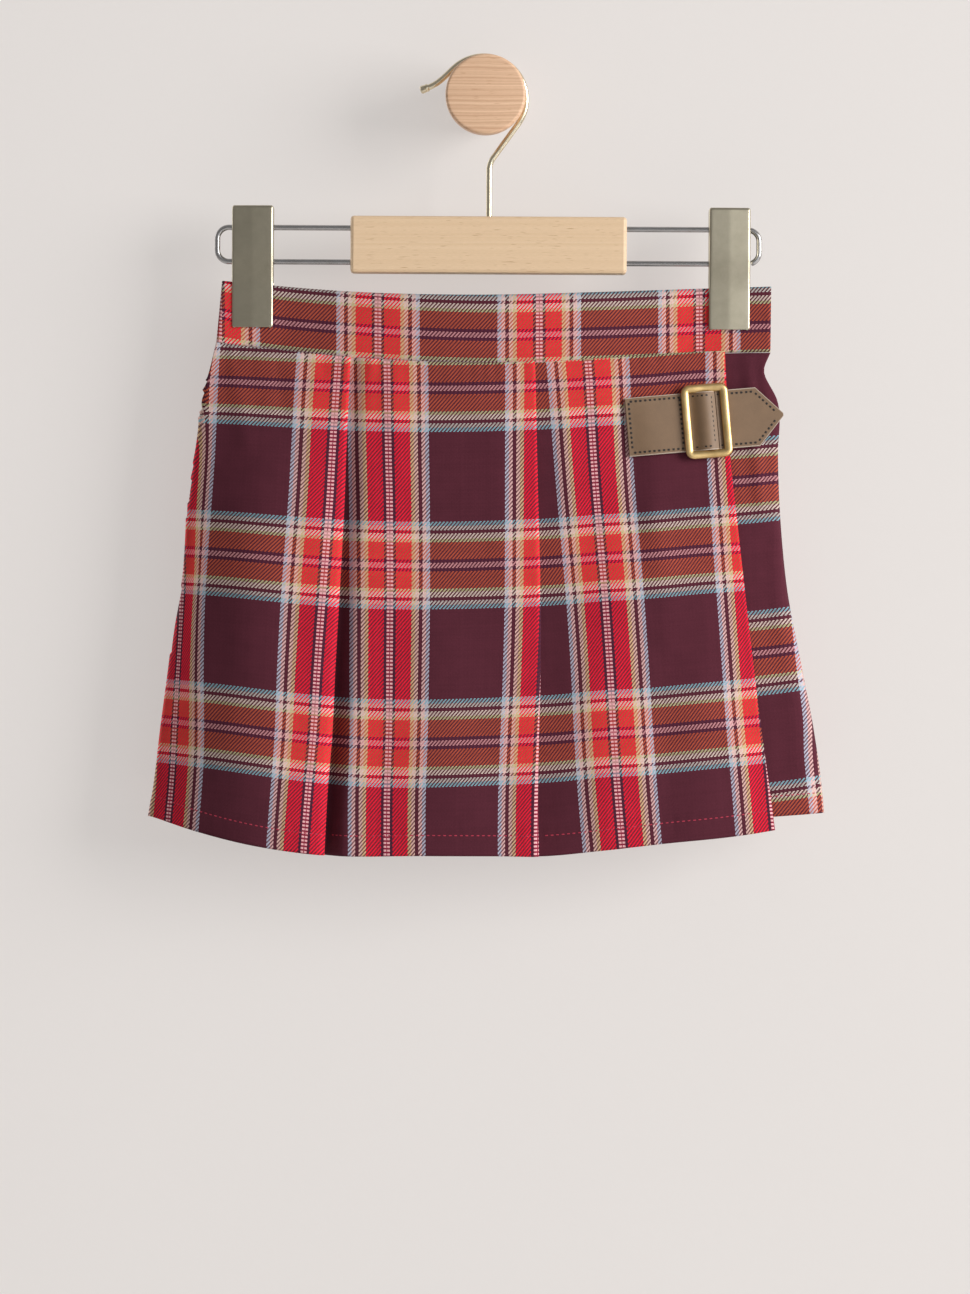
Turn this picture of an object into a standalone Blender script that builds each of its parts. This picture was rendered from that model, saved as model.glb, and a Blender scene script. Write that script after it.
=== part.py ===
# Child's pleated tartan skort, hung by two clips from a wooden bar hanger on a round wall peg.
# Sizes are in millimetres; every point is turned into metres when its mesh is made.
# The origin is the centre of the peg's flat back, +X is the wearer's left, +Z is up, -Y is the front.

import math
from collections import namedtuple

import bmesh
import bpy
import numpy as np
from mathutils import Vector

MM = 0.001

# Driving sizes
CLOTH = 1.2
BAND = 3.0
GAP = 0.3
HALF_GAP = GAP / 2
HANG_Y = -32.0
APRON_DROP = 245.0
SHORTS_DROP = 230.0
CROTCH_DROP = 163.0
CROTCH_CURVE = 35.0
LEG_SPLIT = 3.5
PINCH_END = 0.76

# The waistband from the wearer's right to left: its top edge and the seam below it.
BandRow = namedtuple("BandRow", "x top seam")
BAND_ROWS = [
    BandRow(-136.0, -91.6, -123.6),
    BandRow(-104.0, -94.6, -127.6),
    BandRow(-64.0, -97.8, -131.6),
    BandRow(-8.0, -99.4, -134.3),
    BandRow(58.0, -97.9, -131.9),
    BandRow(110.0, -95.9, -128.4),
    BandRow(144.0, -94.9, -127.8),
]
BAND_LEFT_TOP = -131.6
BAND_LEFT_SEAM = -134.6
BAND_RIGHT_TOP = 142.7
BAND_RIGHT_SEAM = 142.3

# Outline and fold edges of the skirt at each drop below the waist seam.
Level = namedtuple("Level", "drop side_left fold_one fold_two free_edge side_right")
LEVELS = [
    Level(0.0, -134.6, -67.4, 23.9, 119.5, 142.4),
    Level(8.0, -136.4, -67.8, 24.2, 119.9, 139.2),
    Level(25.0, -140.1, -68.9, 24.6, 120.8, 146.1),
    Level(50.0, -144.2, -70.7, 25.3, 122.3, 146.3),
    Level(85.0, -149.6, -72.6, 26.3, 126.1, 147.8),
    Level(120.0, -151.9, -74.5, 27.1, 129.9, 151.3),
    Level(155.0, -157.5, -76.4, 27.0, 133.8, 157.9),
    Level(190.0, -162.7, -78.0, 26.1, 138.0, 164.6),
    Level(215.0, -165.6, -80.0, 25.7, 141.4, 168.1),
    Level(250.0, -171.0, -81.7, 26.2, 145.9, 170.9),
]

# Height of the apron's hem and of the shorts' hem across the front.
HemRow = namedtuple("HemRow", "x apron leg")
HEM_ROWS = [
    HemRow(-170.0, -359.6, -357.6),
    HemRow(-150.0, -365.6, -358.8),
    HemRow(-111.0, -374.6, -360.6),
    HemRow(-82.0, -378.4, -361.6),
    HemRow(-30.0, -378.8, -362.4),
    HemRow(10.0, -379.0, -362.6),
    HemRow(27.0, -379.2, -362.4),
    HemRow(58.0, -376.4, -362.0),
    HemRow(87.0, -373.2, -361.4),
    HemRow(129.0, -368.8, -360.6),
    HemRow(171.0, -362.0, -357.9),
]

# Knife pleats: depth of the turned-under cloth, gap between layers and how fast the next panel comes
# forward again, at the waist seam and at the hem.
Pleat = namedtuple("Pleat", "depth_waist depth_hem open_waist open_hem under_hem rise_width rise_share")
PLEAT_ONE = Pleat(28.3, 18.8, 1.5, 5.2, 3.6, 15.0, 0.62)
PLEAT_TWO = Pleat(29.0, 18.8, 1.5, 2.8, 2.4, 20.0, 0.45)

# Where the flat stretches of the apron's section have their points, as shares of each stretch.
SIDE_PANEL_PARTS = (0.0, 0.02, 0.06, 0.13, 0.24, 0.4, 0.58, 0.78)
MIDDLE_PANEL_PARTS = (0.0, 0.06, 0.13, 0.21, 0.32, 0.48, 0.65, 0.83)
FREE_PANEL_PARTS = (0.0, 0.06, 0.13, 0.22, 0.32, 0.43, 0.55, 0.68, 0.8, 0.91, 1.0)

# Soft creases of the apron: where each starts and ends, how far it reaches and how much it stands out.
Crease = namedtuple("Crease", "x_start drop_start x_end drop_end width height")
APRON_CREASES = [
    Crease(69.0, 18.0, 78.0, 100.0, 7.0, -1.3),
    Crease(81.0, 68.0, 92.0, 150.0, 9.0, 1.2),
    Crease(-118.0, 60.0, -132.0, 236.0, 16.0, 1.5),
    Crease(-22.0, 120.0, -20.0, 246.0, 20.0, 1.8),
    Crease(106.0, 120.0, 118.0, 240.0, 15.0, 1.6),
]
BACK_CREASES = [
    Crease(-84.0, 24.0, -108.0, 170.0, 13.0, 1.8),
    Crease(-38.0, 60.0, -60.0, 200.0, 15.0, 1.6),
    Crease(52.0, 40.0, 66.0, 190.0, 14.0, 1.9),
    Crease(96.0, 30.0, 121.0, 150.0, 12.0, 1.5),
]

# Gathers that the elastic draws into the back, from its centre to each side.
GATHERS_EACH_SIDE = 7
GATHER_HEIGHT = 2.4
GATHER_FADE = 78.0
BAND_GATHER_HEIGHT = 1.4

# Depth of the hollow between the front and the back of the shorts.
FRONT_BULGE_WAIST = 6.9
FRONT_BULGE_HEM = 9.5
BAND_BULGE_FRONT = 8.0
BACK_BULGE_WAIST = 5.2
BACK_BULGE_HEM = 10.0
BAND_BULGE_BACK = 6.0
ROUND_OUT_DROP = 80.0
APRON_STAND_HEM = 5.0
FREE_LIFT_WAIST = 0.8
FREE_LIFT_HEM = 2.6
PLEAT_LEAD = 3.0

# Leather strap and slide buckle on the apron.
STRAP_CENTRE_X = 110.3
STRAP_CENTRE_Z = -162.4
STRAP_TILT = math.radians(4.9)
STRAP_HALF = 14.7
STRAP_THICK = 1.4
STRAP_START = -40.0
STRAP_SPLIT = 4.5
STRAP_SHOULDER = 25.5
STRAP_POINT = 38.4
STRAP_POINT_HALF = 0.8
BUCKLE_HALF_WIDE = 11.8
BUCKLE_HALF_TALL = 18.6
BUCKLE_BAR_WIDE = 3.7
BUCKLE_BAR_THICK = 2.4
BUCKLE_CORNER = 3.2
BUCKLE_PIN = 1.6
STRAP_ARCH = 3.3
STRAP_ARCH_HALF = 7.6
STRAP_LIFT = 0.7

# Hanger: wire, bar and clips.
WIRE = 3.0
RAIL_WIRE = 2.5
HANGER_TILT = math.radians(0.3)
BAR_CENTRE_X = 1.85
BAR_LONG = 138.0
BAR_TALL = 28.5
BAR_DEEP = 12.0
BAR_CENTRE_Z = -74.3
BAR_EDGE = 1.6
RAIL_UPPER_Z = -65.9
RAIL_LOWER_Z = -83.0
RAIL_LEFT_X = -133.7
RAIL_RIGHT_X = 137.2
RAIL_CORNER = 5.8
RAIL_INNER_END_X = 126.0
STEM_DEPTH = 3.2
STEM_X = BAR_CENTRE_X + 0.2
BORE_EASE = GAP + 0.05
LOOP_CENTRE_X = -1.1
LOOP_CENTRE_Z = -1.1
LOOP_RADIUS = 21.4
BALL_RADIUS = 2.1
CLIP_WIDE = 20.7
CLIP_TALL = 60.3
CLIP_SHEET = 1.0
CLIP_CORNER = 2.4
CLIP_FACE = 6.6
CLIP_LEFT_X = -115.9
CLIP_RIGHT_X = 122.3
CLIP_TOP_Z = -55.6
SPRING_RADIUS = 5.2
SPRING_BORE = 4.0
SPRING_LONG = 13.0

# Wall peg.
PEG_REACH = 50.0
PEG_CAP = 20.0
PEG_NECK = 17.9
PEG_FOOT = 15.0


def smoothstep(value):
    value = min(max(value, 0.0), 1.0)
    return value * value * (3.0 - 2.0 * value)


def mix(start, end, share):
    return start + (end - start) * share


def curve(rows, key, column, at):
    """Smooth value of one column of a table, read at a place along its key column."""
    keys = [getattr(row, key) for row in rows]
    values = [getattr(row, column) for row in rows]
    if at <= keys[0]:
        return values[0]
    if at >= keys[-1]:
        return values[-1]
    slopes = np.gradient(values, keys)
    index = int(np.searchsorted(keys, at, side="right")) - 1
    span = keys[index + 1] - keys[index]
    share = (at - keys[index]) / span
    rise = share * share * (3.0 - 2.0 * share)
    lead = share * (1.0 - share) ** 2 * slopes[index]
    tail = share * share * (1.0 - share) * slopes[index + 1]
    return mix(values[index], values[index + 1], rise) + span * (lead - tail)


def material(name, colour, roughness, metallic=0.0):
    made = bpy.data.materials.new(name)
    made.use_nodes = True
    shader = made.node_tree.nodes["Principled BSDF"]
    shader.inputs["Base Color"].default_value = (*colour, 1.0)
    shader.inputs["Roughness"].default_value = roughness
    shader.inputs["Metallic"].default_value = metallic
    return made


def add_object(name, shell, finish, smooth_angle=40.0):
    """Turn a finished bmesh, in millimetres, into a named object in metres."""
    bmesh.ops.recalc_face_normals(shell, faces=shell.faces)
    bmesh.ops.scale(shell, vec=(MM, MM, MM), verts=shell.verts)
    mesh = bpy.data.meshes.new(name)
    shell.to_mesh(mesh)
    shell.free()
    mesh.shade_smooth()
    mesh.set_sharp_from_angle(angle=math.radians(smooth_angle))
    made = bpy.data.objects.new(name, mesh)
    made.data.materials.append(finish)
    bpy.context.scene.collection.objects.link(made)
    return made


def grid_normals(grid, outward):
    """Unit normals of a grid of points, turned to the side that outward points to."""
    along = np.gradient(grid, axis=1)
    down = np.gradient(grid, axis=0)
    normals = np.cross(along, down)
    normals /= np.linalg.norm(normals, axis=2, keepdims=True)
    middle = normals[0, normals.shape[1] // 2]
    if np.dot(middle, outward) < 0.0:
        normals = -normals
    return normals


def wall(name, grid, inward, outward, facing, finish):
    """Closed wall on a grid of points (rows down, columns along), grown to both sides of it."""
    grid = np.array(grid, dtype=float)
    normals = grid_normals(grid, facing)
    shell = bmesh.new()
    faces = []
    for side in (-inward, outward):
        surface = grid + normals * side
        faces.append([[shell.verts.new(point) for point in row] for row in surface])
    rows, columns = grid.shape[:2]
    for layer in faces:
        for row in range(rows - 1):
            for column in range(columns - 1):
                corners = [layer[row][column], layer[row][column + 1]]
                corners += [layer[row + 1][column + 1], layer[row + 1][column]]
                shell.faces.new(corners if layer is faces[0] else corners[::-1])
    rim = [(0, column) for column in range(columns)]
    rim += [(row, columns - 1) for row in range(1, rows)]
    rim += [(rows - 1, column) for column in range(columns - 2, -1, -1)]
    rim += [(row, 0) for row in range(rows - 2, 0, -1)]
    for place, following in zip(rim, rim[1:] + rim[:1]):
        inner = [faces[0][place[0]][place[1]], faces[0][following[0]][following[1]]]
        outer = [faces[1][following[0]][following[1]], faces[1][place[0]][place[1]]]
        shell.faces.new((inner + outer)[::-1])
    return add_object(name, shell, finish)


def spread(start, end, count, crowd=0.0):
    """Places from start to end; crowd 1 draws them together at both ends."""
    places = []
    for index in range(count + 1):
        even = index / count
        eased = 0.5 - 0.5 * math.cos(math.pi * even)
        places.append(mix(start, end, mix(even, eased, crowd)))
    return places


def seam_height(x):
    return curve(BAND_ROWS, "x", "seam", x)


def edge(name, drop):
    return curve(LEVELS, "drop", name, drop)


def across(x, drop):
    """How far x lies towards the side of the skirt: 0 at the centre, 1 at the side seam."""
    side = edge("side_left", drop) if x < 0.0 else edge("side_right", drop)
    return min(abs(x / side), 1.0)


def bulge(reach, drop):
    """Share of the full depth that a panel has: pinched flat at the clips, rounded lower down."""
    pinched = max(0.0, 1.0 - (reach / PINCH_END) ** 2) ** 1.3
    rounded = math.sqrt(max(0.0, 1.0 - reach ** 4))
    return mix(pinched, rounded, smoothstep(drop / ROUND_OUT_DROP))


def roundness(drop):
    return smoothstep(drop / ROUND_OUT_DROP)


def crease_height(creases, x, drop):
    """Sum of the soft creases at a place on a panel."""
    total = 0.0
    for crease in creases:
        length = crease.drop_end - crease.drop_start
        along = (drop - crease.drop_start) / length
        fade = smoothstep((along + 0.15) / 0.35) * smoothstep((1.15 - along) / 0.35)
        middle = mix(crease.x_start, crease.x_end, along)
        total += crease.height * fade * math.exp(-((x - middle) / crease.width) ** 2)
    return total


def shorts_inner_front(x, drop):
    """Inner face of the shorts' front, ahead of the hanging plane."""
    depth = mix(FRONT_BULGE_WAIST, FRONT_BULGE_HEM, min(drop / SHORTS_DROP, 1.0))
    return HANG_Y - HALF_GAP - depth * bulge(across(x, drop), drop)


def left_inset(drop):
    """The apron and the shorts lie on each other at the side seam."""
    return (2.0 * CLOTH + GAP) * roundness(drop)


def front_base(x, drop):
    """A place on the shorts' front and the direction out of it, in plan."""
    inset = left_inset(drop)
    side = edge("side_left", drop)
    step = 0.25
    if x < 0.0:
        squeeze = (side + inset) / side
    else:
        squeeze = (edge("side_right", drop) - CLOTH * roundness(drop)) / edge("side_right", drop)
    before = max(x - step, side + 0.001)
    after = x + step
    y_before = shorts_inner_front(before, drop)
    y_after = shorts_inner_front(after, drop)
    slope = Vector(((after - before) * squeeze, y_after - y_before))
    normal = Vector((slope.y, -slope.x)).normalized()
    return Vector((x * squeeze, shorts_inner_front(x, drop))), normal


def layer_heights(pleat, share):
    """Heights of the deepest, turned and top layers of a pleat above the shorts."""
    first = CLOTH + GAP + CLOTH / 2
    lower = mix(pleat.open_waist, pleat.under_hem, share)
    upper = mix(pleat.open_waist, pleat.open_hem, share)
    return first, first + lower, first + lower + upper


def pleat_depth(pleat, share):
    return mix(pleat.depth_waist, pleat.depth_hem, share)


def pleat_turns(fold, pleat, share):
    """Section of a knife pleat: over the fold edge, back beneath it and out again below."""
    depth = pleat_depth(pleat, share)
    first, second, third = layer_heights(pleat, share)
    outer = (third - second) / 2
    inner = (second - first) / 2
    points = [(place, third) for place in spread(fold - depth - PLEAT_LEAD, fold - outer - 1.5, 3)]
    for index in range(5):
        angle = math.pi / 2 - math.pi * index / 4
        points.append((fold - outer + outer * math.cos(angle), second + outer + outer * math.sin(angle)))
    turn = fold - depth + inner
    points += [(mix(fold - outer, turn, part), second) for part in (0.35, 0.7)]
    for index in range(5):
        angle = math.pi / 2 + math.pi * index / 4
        points.append((turn + inner * math.cos(angle), first + inner + inner * math.sin(angle)))
    points += [(mix(turn, fold, part), first) for part in (0.4, 0.75)]
    return points


def stand_off(x, drop):
    """How far the whole apron hangs clear of the shorts."""
    share = min(drop / APRON_DROP, 1.0)
    return APRON_STAND_HEM * share ** 1.5 * (1.0 - across(x, drop) ** 4)


def rise(x, start, width, share, end):
    """Share of the way forward that a panel has come, x to the right of where it starts."""
    quick = smoothstep((x - start) / width)
    slow = smoothstep((x - start) / max(end - start, 1.0))
    return share * quick + (1.0 - share) * slow


def free_panel_level(x, drop):
    """Height of the panel between the second pleat and the free edge."""
    share = min(drop / APRON_DROP, 1.0)
    fold = edge("fold_two", drop)
    free = edge("free_edge", drop)
    first = layer_heights(PLEAT_TWO, share)[0]
    lift = mix(FREE_LIFT_WAIST, FREE_LIFT_HEM, share)
    forward = rise(x, fold, PLEAT_TWO.rise_width, PLEAT_TWO.rise_share, mix(fold, free, 0.6))
    settle = smoothstep((free - x) / 40.0)
    return first + lift * forward * mix(0.35, 1.0, settle)


def apron_section(drop):
    """Places and heights along the apron's section at one drop."""
    share = min(drop / APRON_DROP, 1.0)
    fold_one = edge("fold_one", drop)
    fold_two = edge("fold_two", drop)
    side = edge("side_left", drop)
    free = edge("free_edge", drop)
    first, _, third = layer_heights(PLEAT_ONE, share)
    section = []
    turned = fold_one - pleat_depth(PLEAT_ONE, share) - PLEAT_LEAD
    for part in SIDE_PANEL_PARTS:
        place = mix(side, turned, part)
        section.append((place, mix(first, third, smoothstep(part * 1.1))))
    section += pleat_turns(fold_one, PLEAT_ONE, share)
    top_of_two = layer_heights(PLEAT_TWO, share)[2]
    turned = fold_two - pleat_depth(PLEAT_TWO, share) - PLEAT_LEAD
    for part in MIDDLE_PANEL_PARTS:
        place = mix(fold_one + 1.0, turned, part)
        forward = rise(place, fold_one, PLEAT_ONE.rise_width, PLEAT_ONE.rise_share, turned)
        section.append((place, mix(first, top_of_two, forward)))
    section += pleat_turns(fold_two, PLEAT_TWO, share)
    for part in FREE_PANEL_PARTS:
        place = mix(fold_two + 1.0, free, part)
        section.append((place, free_panel_level(place, drop)))
    return section


def apron_point(x, height, drop, z):
    base, normal = front_base(x, drop)
    out = height + stand_off(x, drop) + crease_height(APRON_CREASES, x, drop)
    flat = base + normal * out
    return (flat.x, flat.y, z)


def make_apron(finish):
    top = apron_section(0.0)
    hem = apron_section(APRON_DROP)
    grid = []
    for share in spread(0.0, 1.0, 15):
        row = []
        for column, (start, end) in enumerate(zip(top, hem)):
            high = seam_height(start[0]) - HALF_GAP
            low = curve(HEM_ROWS, "x", "apron", end[0])
            drop = share * (high - low)
            x, height = apron_section(drop)[column]
            row.append(apron_point(x, height, drop, high - drop))
        grid.append(row)
    return wall("apron", grid, CLOTH / 2, CLOTH / 2, (0, -1, 0), finish)


def gather_wave(x, drop, height, fade):
    """Outward ripple that the elastic draws into the back."""
    reach = across(x, drop)
    phase = GATHERS_EACH_SIDE * reach / PINCH_END
    wave = 0.5 - 0.5 * math.cos(2.0 * math.pi * phase)
    uneven = 0.75 + 0.25 * math.sin(5.3 * reach + (1.0 if x < 0 else 2.6))
    return height * wave * uneven * smoothstep((PINCH_END - reach) / 0.03) * fade


def leg_edge(drop):
    """Inner edge of a leg panel: the centre seam, then the inseam below the crotch."""
    turn = smoothstep((drop - CROTCH_DROP + CROTCH_CURVE) / CROTCH_CURVE)
    split = LEG_SPLIT * smoothstep((drop - CROTCH_DROP) / 60.0)
    return HALF_GAP + CLOTH * math.cbrt(turn) + split, turn


def shorts_point(part, drop, z, side, back):
    """A place on a leg panel: part 0 is the side seam, part 1 the centre seam or inseam."""
    name = "side_left" if side < 0 else "side_right"
    outer = abs(edge(name, drop))
    inset = CLOTH * roundness(drop)
    if side < 0:
        inset = left_inset(drop) if not back else CLOTH * roundness(drop)
    inner, turn = leg_edge(drop)
    reach = 1.0 - part
    width = mix(inner, outer - inset, reach)
    closing = mix(1.0, math.sqrt(max(0.0, 1.0 - part ** 6)), turn)
    x = side * width
    low = BACK_BULGE_WAIST if back else FRONT_BULGE_WAIST
    high = BACK_BULGE_HEM if back else FRONT_BULGE_HEM
    depth = mix(low, high, min(drop / SHORTS_DROP, 1.0)) * bulge(reach, drop) * closing
    if not back:
        return (x, HANG_Y - HALF_GAP - depth, z)
    fade = (1.0 - smoothstep(drop / GATHER_FADE)) * smoothstep(part / 0.02)
    depth += gather_wave(x, drop, GATHER_HEIGHT, fade) * smoothstep((1.0 - part) / 0.02)
    depth += crease_height(BACK_CREASES, x, drop) * closing * smoothstep(part / 0.1)
    return (x, HANG_Y + HALF_GAP + depth, z)


def leg_panel(name, side, back, columns, rows, finish):
    grid = []
    for share in spread(0.0, 1.0, rows):
        row = []
        for part in columns:
            top_width = abs(BAND_LEFT_SEAM if side < 0 else BAND_RIGHT_SEAM)
            high = seam_height(side * top_width * (1.0 - part)) - HALF_GAP
            low = curve(HEM_ROWS, "x", "leg", side * 169.0 * (1.0 - part))
            drop = share * (high - low)
            row.append(shorts_point(part, drop, high - drop, side, back))
        grid.append(row)
    facing = (0, 1, 0) if back else (0, -1, 0)
    return wall(name, grid, 0.0, CLOTH, facing, finish)


def band_wall(name, back, columns, finish):
    """Waistband half: pinched flat at both clips, bowed between them."""
    direction = 1.0 if back else -1.0
    depth = BAND_BULGE_BACK if back else BAND_BULGE_FRONT
    grid = []
    for share in (0.0, 0.33, 0.67, 1.0):
        row = []
        for part in columns:
            left = mix(BAND_LEFT_TOP, BAND_LEFT_SEAM, share)
            right = mix(BAND_RIGHT_TOP, BAND_RIGHT_SEAM, share)
            x = mix(left, right, part)
            top = curve(BAND_ROWS, "x", "top", x)
            low = seam_height(x) + HALF_GAP
            reach = abs(x / (left if x < 0.0 else right))
            out = depth * max(0.0, 1.0 - (reach / PINCH_END) ** 2) ** 1.3
            if back:
                out += gather_wave(x, 0.0, BAND_GATHER_HEIGHT, 1.0)
            row.append((x, HANG_Y + direction * (HALF_GAP + out), mix(top, low, share)))
        grid.append(row)
    return wall(name, grid, 0.0, BAND, (0, direction, 0), finish)


def strap_place(along, over):
    """A place of the strap, along it and across it, on the front of the garment."""
    x = STRAP_CENTRE_X + along * math.cos(STRAP_TILT) - over * math.sin(STRAP_TILT)
    z = STRAP_CENTRE_Z + along * math.sin(STRAP_TILT) + over * math.cos(STRAP_TILT)
    return x, z


def apron_face(x, z):
    """Front face of the free panel, carried on level past the free edge."""
    drop = seam_height(x) - z
    edge_x = edge("free_edge", drop) - 3.0
    held = min(x, edge_x)
    height = free_panel_level(held, drop) + CLOTH / 2
    y = apron_point(held, height, drop, z)[1]
    return y + 0.05 * max(0.0, x - edge_x)


def strap_wall(name, start, end, count, finish):
    grid = []
    for share in spread(0.0, 1.0, count):
        along = mix(start, end, share)
        half = STRAP_HALF
        if along > STRAP_SHOULDER:
            taper = (along - STRAP_SHOULDER) / (STRAP_POINT - STRAP_SHOULDER)
            half = mix(STRAP_HALF, STRAP_POINT_HALF, taper)
        arch = math.cos(math.pi / 2 * min(abs(along) / STRAP_ARCH_HALF, 1.0)) ** 2
        lift = STRAP_LIFT + STRAP_ARCH * arch
        row = []
        for over in (-1.0, -0.5, 0.0, 0.5, 1.0):
            x, z = strap_place(along, over * half)
            row.append((x, apron_face(x, z) - lift, z))
        grid.append(row)
    return wall(name, grid, 0.0, STRAP_THICK, (0, -1, 0), finish)


def ring_path(half_wide, half_tall, corner, steps):
    """Rounded rectangle in the plane of the buckle."""
    points = []
    for turn, (side, level) in enumerate(((1, 1), (-1, 1), (-1, -1), (1, -1))):
        for step in range(steps + 1):
            angle = math.radians(90.0 * turn + 90.0 * step / steps)
            wide = side * (half_wide - corner) + corner * math.cos(angle)
            tall = level * (half_tall - corner) + corner * math.sin(angle)
            points.append((wide, tall))
    return points


def make_buckle(finish):
    """Frame swept round a rounded rectangle, lying on the strap."""
    shell = bmesh.new()
    lift = STRAP_LIFT + STRAP_THICK + GAP + BUCKLE_BAR_THICK / 2
    middle = BUCKLE_BAR_WIDE / 2
    path = ring_path(BUCKLE_HALF_WIDE - middle, BUCKLE_HALF_TALL - middle, BUCKLE_CORNER, 3)
    loops = []
    for index, (wide, tall) in enumerate(path):
        before = Vector(path[index - 1])
        after = Vector(path[(index + 1) % len(path)])
        outward = Vector(((after - before).y, -(after - before).x)).normalized()
        loop = []
        for side in range(8):
            angle = math.radians(45.0 * side + 22.5)
            out = math.cos(angle) * middle / math.cos(math.radians(22.5))
            up = math.sin(angle) * BUCKLE_BAR_THICK / 2 / math.cos(math.radians(22.5))
            x, z = strap_place(wide + outward.x * out, tall + outward.y * out)
            loop.append(shell.verts.new((x, apron_face(x, z) - lift - up, z)))
        loops.append(loop)
    close_rings(shell, loops, closed=True)
    return add_object("buckle_frame", shell, finish)


def close_rings(shell, loops, closed):
    """Skin a row of rings, joined end to end or capped."""
    count = len(loops[0])
    pairs = list(zip(loops, loops[1:]))
    if closed:
        pairs.append((loops[-1], loops[0]))
    for first, second in pairs:
        for side in range(count):
            following = (side + 1) % count
            shell.faces.new((first[side], first[following], second[following], second[side]))
    if not closed:
        shell.faces.new(loops[0][::-1])
        shell.faces.new(loops[-1])


def make_buckle_pin(finish):
    """Middle bar that the strap passes over, between the top and bottom of the frame."""
    shell = bmesh.new()
    lift = STRAP_LIFT + STRAP_ARCH - GAP - BUCKLE_PIN / 2
    reach = BUCKLE_HALF_TALL - BUCKLE_BAR_WIDE - GAP
    loops = []
    for tall in spread(-reach, reach, 6):
        loop = []
        for side in range(8):
            angle = math.radians(45.0 * side)
            x, z = strap_place(BUCKLE_PIN / 2 * math.cos(angle), tall)
            y = apron_face(x, z) - lift - BUCKLE_PIN / 2 * math.sin(angle)
            loop.append(shell.verts.new((x, y, z)))
        loops.append(loop)
    close_rings(shell, loops, closed=False)
    return add_object("buckle_pin", shell, finish)


def tube(name, path, radii, sides, finish):
    """Round wire along a path of (x, z) points in the hanging plane."""
    shell = bmesh.new()
    loops = []
    for index, (place, radius) in enumerate(zip(path, radii)):
        before = Vector(path[max(index - 1, 0)])
        after = Vector(path[min(index + 1, len(path) - 1)])
        along = (after - before).normalized()
        out = Vector((along.y, -along.x))
        loop = []
        for side in range(sides):
            angle = 2.0 * math.pi * (side + 0.5) / sides
            flat = Vector(place) + out * radius * math.cos(angle)
            loop.append(shell.verts.new((flat.x, HANG_Y + radius * math.sin(angle), flat.y)))
        loops.append(loop)
    close_rings(shell, loops, closed=False)
    return add_object(name, shell, finish)


def arc(centre_x, centre_z, radius, start, end, count):
    """Points on an arc; angles in degrees from +X towards +Z."""
    points = []
    for angle in spread(start, end, count):
        turned = math.radians(angle)
        points.append((centre_x + radius * math.cos(turned), centre_z + radius * math.sin(turned)))
    return points


def bend(start, start_pull, end_pull, end, count):
    """Cubic bend from start to end, pulled towards two handles."""
    points = []
    for share in spread(0.0, 1.0, count)[1:]:
        rest = 1.0 - share
        weights = (rest ** 3, 3 * rest * rest * share, 3 * rest * share * share, share ** 3)
        x = sum(w * p[0] for w, p in zip(weights, (start, start_pull, end_pull, end)))
        z = sum(w * p[1] for w, p in zip(weights, (start, start_pull, end_pull, end)))
        points.append((x, z))
    return points


def make_hook(finish):
    bar_top = BAR_CENTRE_Z + BAR_TALL / 2
    path = [(STEM_X, bar_top - STEM_DEPTH), (STEM_X, bar_top + 4.0), (STEM_X, -46.0)]
    loop = arc(LOOP_CENTRE_X, LOOP_CENTRE_Z, LOOP_RADIUS, -36.0, 132.0, 14)
    path += bend(path[-1], (STEM_X, -30.0), (11.2, -21.6), loop[0], 6)
    path += loop[1:]
    path += bend(loop[-1], (-19.6, 11.2), (-23.2, 6.4), (-29.0, 4.4), 5)
    radii = [WIRE / 2] * len(path)
    end_x, end_z = path[-1]
    reach = BALL_RADIUS * 2.0
    for share in (0.12, 0.3, 0.5, 0.72, 0.9, 0.99):
        path.append((end_x - reach * share, end_z - 0.35 * reach * share))
        across_ball = 2.0 * share - 1.0
        size = BALL_RADIUS * math.sqrt(max(0.0, 1.0 - across_ball * across_ball))
        radii.append(max(size, WIRE / 2) if share < 0.5 else size)
    return tube("hook", path, radii, 10, finish)


def make_rails(finish):
    """One bent wire: up round the right end, along the top, round the left end and back."""
    right_x = RAIL_RIGHT_X - RAIL_CORNER
    left_x = RAIL_LEFT_X + RAIL_CORNER
    upper = RAIL_UPPER_Z - RAIL_CORNER
    lower = RAIL_LOWER_Z + RAIL_CORNER
    path = arc(right_x, lower, RAIL_CORNER, -72.0, 0.0, 4) + arc(right_x, upper, RAIL_CORNER, 0.0, 90.0, 5)
    path += arc(left_x, upper, RAIL_CORNER, 90.0, 180.0, 5) + arc(left_x, lower, RAIL_CORNER, 180.0, 270.0, 5)
    path += [(RAIL_INNER_END_X - 14.0, RAIL_LOWER_Z)]
    return tube("rail_wire", path, [RAIL_WIRE / 2] * len(path), 8, finish)


def cylinder(shell, centre, radius, length, axis, sides):
    """Closed round bar along X or Z, added to a bmesh."""
    made = bmesh.ops.create_cone(
        shell, cap_ends=True, segments=sides, radius1=radius, radius2=radius, depth=length)
    if axis == "x":
        turn = ((0, 0, 1), (0, 1, 0), (-1, 0, 0))
        for vertex in made["verts"]:
            vertex.co = Vector([sum(row[i] * vertex.co[i] for i in range(3)) for row in turn])
    bmesh.ops.translate(shell, vec=centre, verts=made["verts"])


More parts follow.
